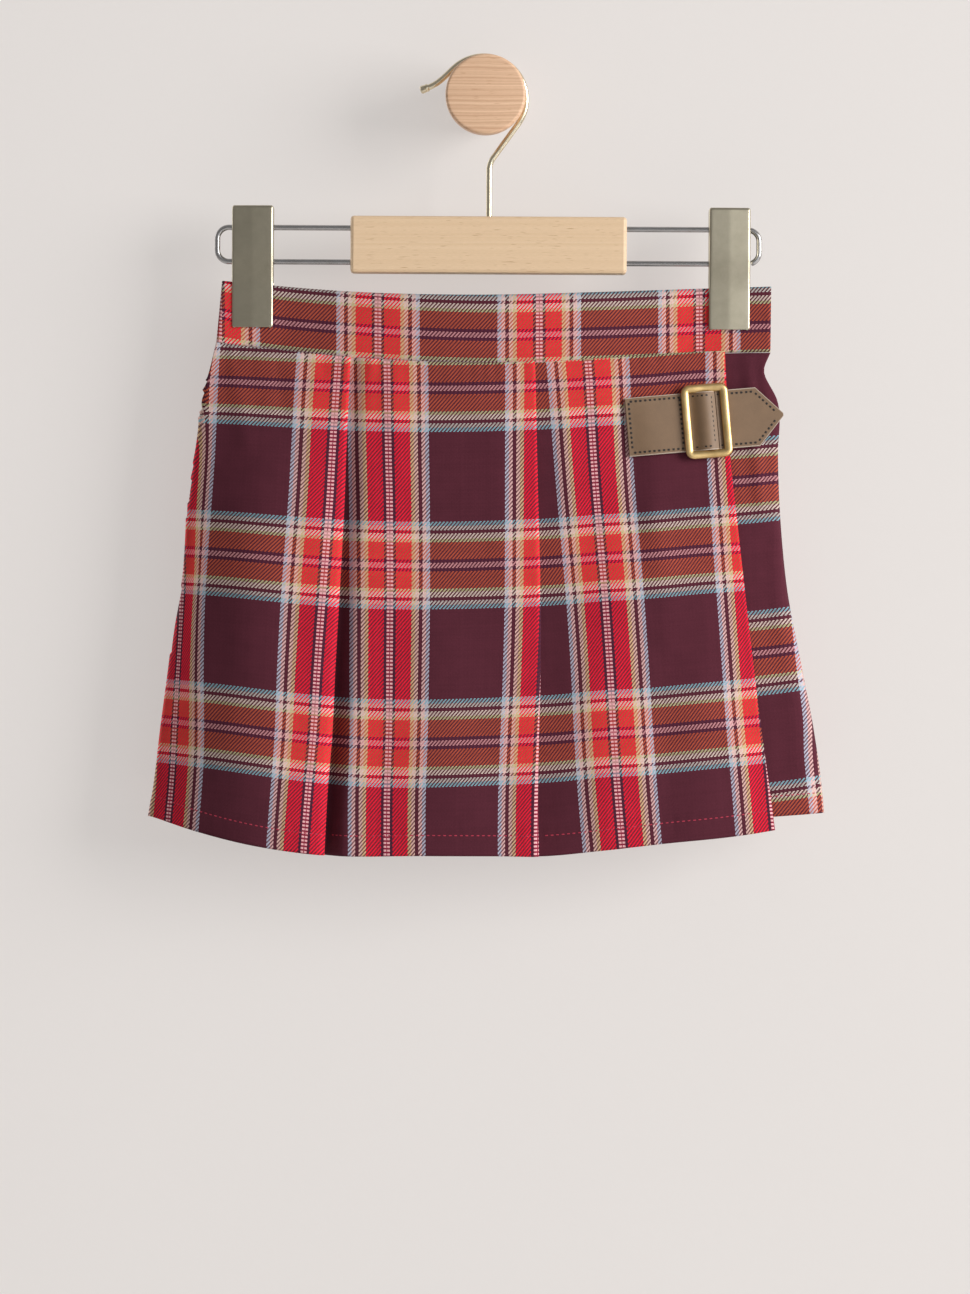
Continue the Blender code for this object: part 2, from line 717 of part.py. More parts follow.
def make_bar(finish, hidden):
    """Wooden bar with its long edges eased, bored for the two rails and for the hook's stem."""
    shell = bmesh.new()
    bmesh.ops.create_cube(shell, size=1.0)
    bmesh.ops.scale(shell, vec=(BAR_LONG, BAR_DEEP, BAR_TALL), verts=shell.verts)
    bmesh.ops.translate(shell, vec=(BAR_CENTRE_X, HANG_Y, BAR_CENTRE_Z), verts=shell.verts)
    bmesh.ops.bevel(
        shell, geom=shell.edges, offset=BAR_EDGE, segments=2, affect="EDGES", profile=0.5, material=-1)
    bar = add_object("hanger_bar", shell, finish)
    bores = bmesh.new()
    bore = RAIL_WIRE / 2 + BORE_EASE
    for height in (RAIL_UPPER_Z, RAIL_LOWER_Z):
        cylinder(bores, (BAR_CENTRE_X, HANG_Y, height), bore, BAR_LONG + 10.0, "x", 12)
    stem = WIRE / 2 + BORE_EASE
    top = BAR_CENTRE_Z + BAR_TALL / 2
    middle = top - STEM_DEPTH - GAP + 10.0
    cylinder(bores, (STEM_X, HANG_Y, middle), stem, 20.0, "z", 12)
    cutter = add_object("bar_bores", bores, hidden)
    cutter.hide_render = True
    cutter.display_type = "WIRE"
    cut = bar.modifiers.new("bores", "BOOLEAN")
    cut.operation = "DIFFERENCE"
    cut.object = cutter
    return bar, cutter


def clip_rows():
    """Rows down a clip plate: height below its top, half width, face and cheek distance."""
    rows = []
    half = CLIP_WIDE / 2
    for angle in (10.0, 35.0, 60.0, 90.0):
        turned = math.radians(angle)
        rounded = CLIP_CORNER * (1.0 - math.sin(turned))
        below = CLIP_CORNER * (1.0 - math.cos(turned))
        rows.append((below, half - rounded, CLIP_FACE - CLIP_SHEET / 2 - 0.8 * rounded))
    jaw_inner = HALF_GAP + BAND + GAP
    jaw_face = jaw_inner + CLIP_SHEET / 2
    for share in (0.25, 0.5, 0.62, 0.74, 0.9, 0.985):
        below = CLIP_TALL * share
        face = mix(CLIP_FACE - CLIP_SHEET / 2, jaw_face, smoothstep((share - 0.3) / 0.42))
        rows.append((below, half, face))
    rows.append((CLIP_TALL, half - 1.2, jaw_face))
    made = []
    rail_cheek = RAIL_WIRE / 2 + GAP
    for below, width, face in rows:
        grip = smoothstep((below - 31.0) / 4.5)
        cheek = mix(rail_cheek, jaw_inner, grip)
        made.append((below, width, face, min(cheek, face - 0.45)))
    return made


def clip_plate(name, centre_x, direction, finish):
    """Pressed plate with its cheeks turned in against the rails and a flat jaw at the bottom."""
    grid = []
    bend_radius = 1.6
    for below, half, face, cheek in clip_rows():
        radius = min(bend_radius, face - cheek)
        side = [(half - CLIP_SHEET / 2, cheek)]
        for angle in (0.0, 30.0, 60.0, 90.0):
            turned = math.radians(angle)
            out = half - CLIP_SHEET / 2 - radius + radius * math.cos(turned)
            side.append((out, face - radius + radius * math.sin(turned)))
        side[1] = (side[1][0], max(side[1][1], cheek + 0.05))
        whole = [(-x, y) for x, y in side] + [(0.0, face + 0.25)] + side[::-1]
        row = []
        for x, out in whole:
            row.append((centre_x + x, HANG_Y + direction * out, CLIP_TOP_Z - below))
        grid.append(row)
    return wall(name, grid, CLIP_SHEET / 2, CLIP_SHEET / 2, (0, direction, 0), finish)


def make_spring(name, centre_x, finish):
    """Coil between the two plates of a clip, as a plain open tube."""
    shell = bmesh.new()
    middle = (RAIL_UPPER_Z + RAIL_LOWER_Z) / 2
    loops = []
    stations = ((SPRING_BORE, -0.5), (SPRING_RADIUS, -0.5), (SPRING_RADIUS, 0.5), (SPRING_BORE, 0.5))
    for radius, end in stations:
        loop = []
        for side in range(12):
            angle = 2.0 * math.pi * (side + 0.5) / 12
            y = HANG_Y + radius * math.cos(angle)
            loop.append(shell.verts.new((centre_x + end * SPRING_LONG, y, middle + radius * math.sin(angle))))
        loops.append(loop)
    close_rings(shell, loops, closed=True)
    return add_object(name, shell, finish)


def make_peg(finish):
    """Turned wooden knob: flat foot on the wall, neck that carries the hook, rounded cap."""
    profile = [(0.0, 0.0), (PEG_FOOT, 0.0), (PEG_FOOT + 0.4, 4.0), (PEG_FOOT + 1.6, 18.0)]
    profile += [(PEG_NECK, 27.0), (PEG_NECK, 36.0), (PEG_NECK + 0.9, 37.4), (PEG_CAP - 0.5, 38.4)]
    profile += [(PEG_CAP, 40.0), (PEG_CAP, PEG_REACH - 2.6)]
    for angle in (30.0, 60.0, 90.0):
        turned = math.radians(angle)
        out = PEG_CAP - 2.4 * (1.0 - math.cos(turned))
        profile.append((out, PEG_REACH - 2.6 * (1.0 - math.sin(turned))))
    profile.append((0.0, PEG_REACH))
    shell = bmesh.new()
    line = [shell.verts.new((radius, -out, 0.0)) for radius, out in profile]
    edges = [shell.edges.new(pair) for pair in zip(line, line[1:])]
    bmesh.ops.spin(
        shell, geom=line + edges, cent=(0, 0, 0), axis=(0, 1, 0), angle=2.0 * math.pi, steps=36,
        use_merge=True)
    bmesh.ops.remove_doubles(shell, verts=shell.verts, dist=0.01)
    return add_object("peg", shell, finish)


def main():
    for existing in list(bpy.data.objects):
        bpy.data.objects.remove(existing, do_unlink=True)

    tartan = material("tartan cloth", (0.16, 0.03, 0.045), 0.9)
    beech = material("beech", (0.72, 0.52, 0.34), 0.55)
    oak = material("peg wood", (0.66, 0.43, 0.27), 0.6)
    nickel = material("satin nickel", (0.33, 0.31, 0.25), 0.35, 1.0)
    steel = material("bright steel", (0.55, 0.54, 0.52), 0.25, 1.0)
    champagne = material("pale gilt wire", (0.72, 0.64, 0.48), 0.25, 1.0)
    leather = material("taupe leather", (0.22, 0.15, 0.09), 0.6)
    brass = material("antique brass", (0.5, 0.34, 0.12), 0.35, 1.0)

    make_peg(oak)
    hanger = bpy.data.objects.new("hanger", None)
    bpy.context.scene.collection.objects.link(hanger)
    hanging = [make_hook(champagne), *make_bar(beech, beech), make_rails(steel)]
    for side, centre in (("left", CLIP_LEFT_X), ("right", CLIP_RIGHT_X)):
        hanging.append(clip_plate("clip_" + side + "_front", centre, -1.0, nickel))
        hanging.append(clip_plate("clip_" + side + "_back", centre, 1.0, nickel))
        hanging.append(make_spring("clip_" + side + "_spring", centre, steel))
    for piece in hanging:
        piece.parent = hanger
    hanger.rotation_euler = (0.0, HANGER_TILT, 0.0)

    band_wall("waistband_front", False, spread(0.0, 1.0, 26), tartan)
    band_wall("waistband_back", True, spread(0.0, 1.0, 76), tartan)
    front_columns = spread(0.0, 1.0, 11, crowd=1.0)
    back_columns = sorted(set(spread(0.0, 1.0, 36) + [0.004, 0.014, 0.986, 0.996]))
    for side, name in ((-1.0, "left"), (1.0, "right")):
        leg_panel("shorts_front_" + name, side, False, front_columns, 12, tartan)
        leg_panel("shorts_back_" + name, side, True, back_columns, 11, tartan)
    make_apron(tartan)

    strap_wall("strap_anchor", STRAP_START, STRAP_SPLIT - HALF_GAP, 16, leather)
    strap_wall("strap_tip", STRAP_SPLIT + HALF_GAP, STRAP_POINT, 12, leather)
    make_buckle(brass)
    make_buckle_pin(brass)


main()
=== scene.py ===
import math
from collections import namedtuple

import bmesh
import bpy
import numpy as np
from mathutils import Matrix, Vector


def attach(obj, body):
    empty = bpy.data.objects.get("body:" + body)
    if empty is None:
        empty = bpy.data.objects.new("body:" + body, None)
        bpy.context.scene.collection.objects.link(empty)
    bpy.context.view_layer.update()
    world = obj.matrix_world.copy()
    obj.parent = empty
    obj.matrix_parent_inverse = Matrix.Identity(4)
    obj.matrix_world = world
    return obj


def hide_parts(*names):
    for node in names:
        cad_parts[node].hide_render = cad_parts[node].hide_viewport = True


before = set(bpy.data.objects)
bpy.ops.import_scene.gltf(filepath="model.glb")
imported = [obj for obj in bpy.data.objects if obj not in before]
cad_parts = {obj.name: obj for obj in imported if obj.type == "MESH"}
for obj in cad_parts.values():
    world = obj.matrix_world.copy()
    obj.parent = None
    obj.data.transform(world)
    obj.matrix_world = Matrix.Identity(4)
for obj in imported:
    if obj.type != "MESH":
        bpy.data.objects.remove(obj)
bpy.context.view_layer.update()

MM = 0.001

# Form of the garment
CLOTH = 1.2
BAND = 3.0
GAP = 0.3
HALF_GAP = GAP / 2
HANG_Y = -32.0
APRON_DROP = 245.0
SHORTS_DROP = 230.0
CROTCH_DROP = 163.0
CROTCH_CURVE = 35.0
LEG_SPLIT = 3.5
LEG_SPLIT_REACH = 60.0
PINCH_END = 0.76
PINCH_POWER = 1.3
SIDE_CROWD = 1.3
SLOPE_STEP = 0.25
FOLD_FADE = 12.0
LEG_HEM_HALF = 169.0
THIN_SHELL = 1.1

# The waistband from left to right: its top edge, the seam below it and the check's centre row on it.
BandRow = namedtuple("BandRow", "x top seam check")
BAND_ROWS = [
    BandRow(-136.0, -91.6, -123.6, -108.2),
    BandRow(-104.0, -94.6, -127.6, -112.8),
    BandRow(-64.0, -97.8, -131.6, -116.6),
    BandRow(-8.0, -99.4, -134.3, -119.6),
    BandRow(58.0, -97.9, -131.9, -118.4),
    BandRow(110.0, -95.9, -128.4, -116.0),
    BandRow(144.0, -94.9, -127.8, -114.8),
]
BAND_LEFT_TOP = -131.6
BAND_LEFT_SEAM = -134.6
BAND_RIGHT_TOP = 142.7
BAND_RIGHT_SEAM = 142.3

# Outline and fold edges of the skirt at each drop below the waist seam.
Level = namedtuple("Level", "drop side_left fold_one fold_two free_edge side_right")
LEVELS = [
    Level(0.0, -134.6, -67.4, 23.9, 119.5, 142.4),
    Level(8.0, -136.4, -67.8, 24.2, 119.9, 139.2),
    Level(25.0, -140.1, -68.9, 24.6, 120.8, 146.1),
    Level(50.0, -144.2, -70.7, 25.3, 122.3, 146.3),
    Level(85.0, -149.6, -72.6, 26.3, 126.1, 147.8),
    Level(120.0, -151.9, -74.5, 27.1, 129.9, 151.3),
    Level(155.0, -157.5, -76.4, 27.0, 133.8, 157.9),
    Level(190.0, -162.7, -78.0, 26.1, 138.0, 164.6),
    Level(215.0, -165.6, -80.0, 25.7, 141.4, 168.1),
    Level(250.0, -171.0, -81.7, 26.2, 145.9, 170.9),
]

# Height of the apron's hem and of the shorts' hem across the front.
HemRow = namedtuple("HemRow", "x apron leg")
HEM_ROWS = [
    HemRow(-170.0, -359.6, -357.6),
    HemRow(-150.0, -365.6, -358.8),
    HemRow(-111.0, -374.6, -360.6),
    HemRow(-82.0, -378.4, -361.6),
    HemRow(-30.0, -378.8, -362.4),
    HemRow(10.0, -379.0, -362.6),
    HemRow(27.0, -379.2, -362.4),
    HemRow(58.0, -376.4, -362.0),
    HemRow(87.0, -373.2, -361.4),
    HemRow(129.0, -368.8, -360.6),
    HemRow(171.0, -362.0, -357.9),
]

# Heights of the check's first and third centre rows across the apron: the weft isn't quite level.
WeftRow = namedtuple("WeftRow", "x first third")
WEFT_ROWS = [
    WeftRow(-168.0, -141.8, -311.4),
    WeftRow(-133.0, -142.4, -314.9),
    WeftRow(-102.0, -144.0, -318.9),
    WeftRow(-72.0, -145.3, -322.0),
    WeftRow(7.0, -145.9, -321.9),
    WeftRow(37.0, -144.5, -320.4),
    WeftRow(57.0, -143.3, -318.4),
    WeftRow(77.0, -142.2, -317.4),
    WeftRow(107.0, -139.7, -314.7),
    WeftRow(142.0, -138.3, -311.4),
]

# Where the warp of the check lies at the edges and folds of the apron, along the cloth as woven.
WarpRow = namedtuple("WarpRow", "drop fold_one after_one fold_two after_two free")
WARP_ROWS = [
    WarpRow(0.0, 85.3, 141.1, 233.8, 293.1, 389.1),
    WarpRow(52.0, 86.5, 137.6, 235.2, 289.8, 391.5),
    WarpRow(150.0, 88.7, 131.4, 238.2, 282.8, 396.0),
    WarpRow(245.0, 90.9, 126.3, 240.6, 275.6, 400.5),
]

# The left side panel turns back at its edge: the warp at the edge, and where the first stripe ends on it.
SideRow = namedtuple("SideRow", "drop edge stripe")
SIDE_ROWS = [
    SideRow(0.0, 17.2, -132.6),
    SideRow(36.0, 14.0, -135.1),
    SideRow(53.0, 9.8, -136.4),
    SideRow(86.0, 5.0, -139.0),
    SideRow(128.0, -1.5, -141.4),
    SideRow(157.0, -7.5, -141.8),
    SideRow(209.0, -11.5, -141.6),
    SideRow(245.0, -15.0, -144.2),
]
STRIPE_END = 20.6

# Small bulges of the left edge: where each is, how long and how far out.
EdgeBump = namedtuple("EdgeBump", "drop length out")
EDGE_BUMPS = [EdgeBump(29.0, 7.0, 1.1), EdgeBump(74.0, 12.0, 0.9), EdgeBump(139.0, 16.0, 0.7)]

# Knife pleats: depth of the turned-under cloth, gap between layers and how fast the next panel comes
# forward again, at the waist seam and at the hem.
Pleat = namedtuple("Pleat", "depth_waist depth_hem open_waist open_hem under_hem rise_width rise_share")
PLEAT_ONE = Pleat(28.3, 18.8, 1.5, 8.0, 4.2, 10.5, 0.86)
PLEAT_TWO = Pleat(29.0, 18.8, 1.5, 4.6, 3.0, 16.0, 0.55)

# Soft creases: where each starts and ends, how far it reaches and how much it stands out.
Crease = namedtuple("Crease", "x_start drop_start x_end drop_end width height")
APRON_CREASES = [
    Crease(69.0, 18.0, 78.0, 100.0, 7.0, -1.3),
    Crease(81.0, 68.0, 92.0, 150.0, 9.0, 1.2),
    Crease(-118.0, 60.0, -132.0, 236.0, 16.0, 1.5),
    Crease(-22.0, 120.0, -20.0, 246.0, 20.0, 1.8),
    Crease(106.0, 120.0, 118.0, 240.0, 15.0, 1.6),
]
BACK_CREASES = [
    Crease(-84.0, 24.0, -108.0, 170.0, 13.0, 1.8),
    Crease(-38.0, 60.0, -60.0, 200.0, 15.0, 1.6),
    Crease(52.0, 40.0, 66.0, 190.0, 14.0, 1.9),
    Crease(96.0, 30.0, 121.0, 150.0, 12.0, 1.5),
]

# Smaller folds of the cloth, uneven as the hand left them, that only the dressed part has.
APRON_FOLDS = [
    Crease(-126.0, 4.0, -120.0, 52.0, 5.0, 0.7),
    Crease(-104.0, 2.0, -101.0, 34.0, 4.0, -0.5),
    Crease(-90.0, 96.0, -96.0, 214.0, 9.0, -0.8),
    Crease(-141.0, 130.0, -150.0, 246.0, 7.0, 0.9),
    Crease(-46.0, 6.0, -43.0, 60.0, 6.0, 0.5),
    Crease(-50.0, 170.0, -56.0, 250.0, 11.0, -0.9),
    Crease(4.0, 30.0, 9.0, 118.0, 8.0, 0.6),
    Crease(8.0, 200.0, 12.0, 250.0, 8.0, -0.7),
    Crease(38.0, 8.0, 44.0, 88.0, 6.0, 0.6),
    Crease(52.0, 150.0, 60.0, 250.0, 10.0, 1.0),
    Crease(88.0, 176.0, 92.0, 250.0, 9.0, -0.8),
    Crease(101.0, 2.0, 104.0, 26.0, 5.0, 0.4),
    Crease(126.0, 186.0, 133.0, 250.0, 7.0, 0.7),
    Crease(66.0, 96.0, 74.0, 232.0, 19.0, 2.2),
    Crease(-69.7, 50.0, -80.7, 250.0, 7.5, -2.4),
]
STRIP_FOLDS = [
    Crease(131.5, 3.0, 138.0, 84.0, 3.0, 1.2),
    Crease(138.5, 8.0, 143.0, 46.0, 2.6, 0.8),
    Crease(143.5, 60.0, 148.0, 150.0, 4.5, 0.9),
    Crease(150.0, 130.0, 160.0, 226.0, 6.0, 1.0),
]
BACK_FOLDS = [
    Crease(-120.0, 14.0, -128.0, 96.0, 6.0, 0.9),
    Crease(-98.0, 150.0, -112.0, 236.0, 9.0, 0.8),
    Crease(-61.0, 110.0, -72.0, 228.0, 8.0, 1.1),
    Crease(-22.0, 78.0, -30.0, 150.0, 7.0, 0.7),
    Crease(27.0, 84.0, 34.0, 168.0, 8.0, 0.9),
    Crease(78.0, 118.0, 92.0, 224.0, 10.0, 1.2),
    Crease(112.0, 96.0, 128.0, 214.0, 8.0, 0.8),
    Crease(131.0, 20.0, 139.0, 84.0, 6.0, 0.7),
]

# Puckers that the waist seam and the hem's stitching draw into the cloth.
SEAM_PUCKER = 0.24
SEAM_PUCKER_REACH = 9.0
HEM_TURN = 10.2
HEM_PUCKER = 0.1
HEM_STEP = 0.28
SEAM_TUCK = 0.9

# Gathers that the elastic draws into the back, from its centre to each side.
GATHERS_EACH_SIDE = 7
GATHER_HEIGHT = 2.4
GATHER_FADE = 78.0
BAND_GATHER_HEIGHT = 1.4
RUCHE_HEIGHT = 0.55
RUCHE_FADE = 26.0
RUCHE_WIDTH = 1.05
BAND_ROUND = 0.07
BAND_EDGE = 0.35

# Depth of the hollow between the front and the back of the shorts.
FRONT_BULGE_WAIST = 6.9
FRONT_BULGE_HEM = 9.5
BAND_BULGE_FRONT = 8.0
BACK_BULGE_WAIST = 5.2
BACK_BULGE_HEM = 10.0
BAND_BULGE_BACK = 6.0
ROUND_OUT_DROP = 80.0
APRON_STAND_HEM = 5.0
FREE_LIFT_WAIST = 0.8
FREE_LIFT_HEM = 2.6
PLEAT_LEAD = 3.0


def mix(start, end, share):
    return start + (end - start) * share


def smoothstep(value):
    value = np.clip(value, 0.0, 1.0)
    return value * value * (3.0 - 2.0 * value)


class Line:
    """Smooth line through one column of a table, read at places along its key column."""

    def __init__(self, rows, key, column):
        self.keys = np.array([getattr(row, key) for row in rows])
        self.values = np.array([getattr(row, column) for row in rows])
        self.slopes = np.gradient(self.values, self.keys)

    def __call__(self, at):
        at = np.clip(np.asarray(at, dtype=float), self.keys[0], self.keys[-1])
        index = np.clip(np.searchsorted(self.keys, at, side="right") - 1, 0, len(self.keys) - 2)
        span = self.keys[index + 1] - self.keys[index]
        share = (at - self.keys[index]) / span
        rise = share * share * (3.0 - 2.0 * share)
        lead = share * (1.0 - share) ** 2 * self.slopes[index]
        tail = share * share * (1.0 - share) * self.slopes[index + 1]
        return mix(self.values[index], self.values[index + 1], rise) + span * (lead - tail)


def lines(rows, key):
    return {name: Line(rows, key, name) for name in rows[0]._fields if name != key}


BAND_LINES = lines(BAND_ROWS, "x")
EDGES = lines(LEVELS, "drop")
HEM_LINES = lines(HEM_ROWS, "x")
WEFT_LINES = lines(WEFT_ROWS, "x")
WARP_LINES = lines(WARP_ROWS, "drop")
SIDE_LINES = lines(SIDE_ROWS, "drop")


def across(x, drop):
    """How far x lies towards the side of the skirt: 0 at the centre, 1 at the side seam."""
    side = np.where(x < 0.0, EDGES["side_left"](drop), EDGES["side_right"](drop))
    return np.minimum(np.abs(x / side), 1.0)


def roundness(drop):
    return smoothstep(drop / ROUND_OUT_DROP)


def pinched(reach):
    """Share of the full depth at the waist, which the clips hold flat at both ends."""
    return np.maximum(0.0, 1.0 - (reach / PINCH_END) ** 2) ** PINCH_POWER


def bulge(reach, drop):
    """Share of the full depth that a panel has: pinched at the waist, rounded lower down."""
    rounded = np.sqrt(np.maximum(0.0, 1.0 - reach ** 4))
    return mix(pinched(reach), rounded, roundness(drop))


def crease_height(creases, x, drop):
    """Sum of the soft creases at places on a panel."""
    total = 0.0
    for crease in creases:
        along = (drop - crease.drop_start) / (crease.drop_end - crease.drop_start)
        fade = smoothstep((along + 0.15) / 0.35) * smoothstep((1.15 - along) / 0.35)
        middle = mix(crease.x_start, crease.x_end, along)
        total = total + crease.height * fade * np.exp(-((x - middle) / crease.width) ** 2)
    return total


def ripple(x, drop):
    """Slow unevenness of hanging cloth."""
    wide = np.sin(x / 17.0 + drop / 41.0 + 0.7) * np.sin(drop / 29.0 - x / 53.0)
    return 0.2 * wide + 0.12 * np.sin(x / 7.9 - drop / 23.0 + 2.1) * np.sin(drop / 13.0 + 0.4)


def sewn_relief(x, drop, from_hem):
    """Puckers below the waist seam, the doubled hem and the stitch line that holds it."""
    uneven = 0.6 + 0.4 * np.sin(x / 11.3 + 1.0)
    wave = np.sin(x / 1.15 + 1.7 * np.sin(x / 9.0))
    pucker = SEAM_PUCKER * uneven * wave * np.exp(-drop / SEAM_PUCKER_REACH)
    step = HEM_STEP * smoothstep((HEM_TURN + 1.2 - from_hem) / 1.6)
    groove = np.exp(-((from_hem - HEM_TURN + 0.6) / 0.7) ** 2)
    sewn = HEM_PUCKER * np.sin(x / 0.95) * np.exp(-((from_hem - HEM_TURN) / 3.5) ** 2)
    return pucker + step + sewn - 0.2 * groove


def shorts_inner_front(x, drop):
    """Inner face of the shorts' front, ahead of the hanging plane."""
    depth = mix(FRONT_BULGE_WAIST, FRONT_BULGE_HEM, np.minimum(drop / SHORTS_DROP, 1.0))
    return HANG_Y - HALF_GAP - depth * bulge(across(x, drop), drop)


def left_inset(drop):
    return (2.0 * CLOTH + GAP) * roundness(drop)


def front_base(x, drop):
    """Places on the shorts' front and the direction out of it, in plan."""
    left = EDGES["side_left"](drop)
    right = EDGES["side_right"](drop)
    squeeze = np.where(
        x < 0.0, (left + left_inset(drop)) / left, (right - CLOTH * roundness(drop)) / right)
    before = np.maximum(x - SLOPE_STEP, left + 0.001)
    after = x + SLOPE_STEP
    slope_x = (after - before) * squeeze
    slope_y = shorts_inner_front(after, drop) - shorts_inner_front(before, drop)
    size = np.hypot(slope_x, slope_y)
    return x * squeeze, shorts_inner_front(x, drop), slope_y / size, -slope_x / size


def layer_heights(pleat, share):
    """Heights of the deepest, turned and top layers of a pleat above the shorts."""
    first = CLOTH + GAP + CLOTH / 2
    lower = mix(pleat.open_waist, pleat.under_hem, share)
    upper = mix(pleat.open_waist, pleat.open_hem, share)
    return first, first + lower, first + lower + upper


def stand_off(x, drop):
    """How far the whole apron hangs clear of the shorts."""
    share = np.minimum(drop / APRON_DROP, 1.0)
    return APRON_STAND_HEM * share ** 1.5 * (1.0 - across(x, drop) ** 4)


def rise(x, start, width, share, end):
    """Share of the way forward that a panel has come, x to the right of where it starts."""
    quick = smoothstep((x - start) / width)
    slow = smoothstep((x - start) / np.maximum(end - start, 1.0))
    return share * quick + (1.0 - share) * slow


def free_panel_level(x, drop):
    """Height of the panel between the second pleat and the free edge."""
    share = np.minimum(drop / APRON_DROP, 1.0)
    fold = EDGES["fold_two"](drop)
    free = EDGES["free_edge"](drop)
    first = layer_heights(PLEAT_TWO, share)[0]
    lift = mix(FREE_LIFT_WAIST, FREE_LIFT_HEM, share)
    forward = rise(x, fold, PLEAT_TWO.rise_width, PLEAT_TWO.rise_share, mix(fold, free, 0.6))
    settle = smoothstep((free - x) / 40.0)
    return first + lift * forward * mix(0.35, 1.0, settle)


def pleat_place(pleat, fold, before, after, stage, part, drop):
    """Place, height and warp on one stretch of a knife pleat; before and after are the warp at its fold."""
    share = np.minimum(drop / APRON_DROP, 1.0)
    depth = mix(pleat.depth_waist, pleat.depth_hem, share)
    first, second, third = layer_heights(pleat, share)
    outer = (third - second) / 2
    inner = (second - first) / 2
    turn = fold - depth + inner
    if stage == "lead":
        return mix(fold - depth - PLEAT_LEAD, fold - outer, part), third, None
    if stage == "over":
        angle = math.pi / 2 - math.pi * part
        x = fold - outer + outer * math.cos(angle)
        height = second + outer + outer * math.sin(angle)
        warp = None if part <= 0.5 else mix(before, after, (fold - x) / (2.0 * depth))
        return x, height, warp
    if stage == "back":
        x = mix(fold - outer, turn, part)
        return x, second, mix(before, after, (fold - x) / (2.0 * depth))
    if stage == "turn":
        angle = math.pi / 2 + math.pi * part
        x = turn + inner * math.cos(angle)
        height = first + inner + inner * math.sin(angle)
        away = (fold - x) / (2.0 * depth)
        return x, height, mix(before, after, away if part < 0.5 else 1.0 - away)
    x = mix(turn, fold, part)
    return x, first + 0.0 * x, mix(before, after, 1.0 - (fold - x) / (2.0 * depth))


def side_warp(x, drop, side_left, fold, warp_at_fold):
    """Warp on the left panel: even on its face and bunched up where it turns back at the side."""
    edge = SIDE_LINES["edge"](drop)
    stripe = SIDE_LINES["stripe"](drop)
    even = (warp_at_fold - STRIPE_END) / (fold - stripe)
    bunched = 1.0 - even * (stripe - side_left) / (STRIPE_END - edge)
    part = np.clip((x - side_left) / (stripe - side_left), 0.0, 1.0)
    turned = mix(edge, STRIPE_END, part + bunched * part * (1.0 - part))
    return np.where(x < stripe, turned, STRIPE_END + even * (x - stripe))


def edge_bumps(drop):
    return sum(bump.out * np.exp(-((drop - bump.drop) / bump.length) ** 2) for bump in EDGE_BUMPS)


def apron_section(stretch, part, drop):
    """Place, height and warp of one place in the apron's section, at each drop."""
    share = np.minimum(drop / APRON_DROP, 1.0)
    edge = {name: line(drop) for name, line in EDGES.items()}
    warp = {name: line(drop) for name, line in WARP_LINES.items()}
    _, _, top_of_one = layer_heights(PLEAT_ONE, share)
    first, _, top_of_two = layer_heights(PLEAT_TWO, share)
    turned_one = edge["fold_one"] - mix(PLEAT_ONE.depth_waist, PLEAT_ONE.depth_hem, share) - PLEAT_LEAD
    turned_two = edge["fold_two"] - mix(PLEAT_TWO.depth_waist, PLEAT_TWO.depth_hem, share) - PLEAT_LEAD
    if stretch == "side":
        x = mix(edge["side_left"] - edge_bumps(drop), turned_one, part)
        height = mix(first, top_of_one, smoothstep(part * 1.1))
    elif stretch == "middle":
        x = mix(edge["fold_one"], turned_two, part)
        forward = rise(x, edge["fold_one"], PLEAT_ONE.rise_width, PLEAT_ONE.rise_share, turned_two)
        height = mix(first, top_of_two, forward)
    elif stretch == "free":
        x = mix(edge["fold_two"], edge["free_edge"], part)
        height = free_panel_level(x, drop)
        across_panel = (x - edge["fold_two"]) / (edge["free_edge"] - edge["fold_two"])
        return x, height, mix(warp["after_two"], warp["free"], across_panel)
    else:
        stage, pleat_name = stretch.split()
        pleat = PLEAT_ONE if pleat_name == "one" else PLEAT_TWO
        fold = edge["fold_" + pleat_name]
        ends = (warp["fold_" + pleat_name], warp["after_" + pleat_name])
        x, height, along = pleat_place(pleat, fold, *ends, stage, part, drop)
        if along is not None:
            return x, height, along
    if stretch == "side" or stretch.endswith("one"):
        return x, height, side_warp(x, drop, edge["side_left"], edge["fold_one"], warp["fold_one"])
    reach = (x - edge["fold_one"]) / (edge["fold_two"] - edge["fold_one"])
    return x, height, mix(warp["after_one"], warp["fold_two"], reach)


def apron_place(x, height, drop, relief=0.0):
    base_x, base_y, out_x, out_y = front_base(x, drop)
    out = height + stand_off(x, drop) + crease_height(APRON_CREASES, x, drop)
    out = out + (crease_height(APRON_FOLDS, x, drop) + ripple(x, drop)) * smoothstep(drop / FOLD_FADE)
    out = out + relief
    return base_x + out_x * out, base_y + out_y * out


# The check's repeats, and its warp at the middle of the waistband.
WEFT_REPEAT = 86.5
WARP_REPEAT = 80.0
TWO_ROWS = 2.0 * WEFT_REPEAT
BAND_WARP = 53.4


def weft_at(x, z):
    """Place along the check's rows, 0 at its first centre row."""
    first = WEFT_LINES["first"](x)
    return TWO_ROWS * (first - z) / (first - WEFT_LINES["third"](x))


# How many columns each stretch of the apron's section has, from its left edge to its free edge.
STRETCHES = [
    ("side", 34), ("lead one", 24), ("over one", 12), ("back one", 14), ("turn one", 8), ("out one", 16),
    ("middle", 48), ("lead two", 24), ("over two", 10), ("back two", 14), ("turn two", 8), ("out two", 16),
    ("free", 72),
]
APRON_ROWS = 150


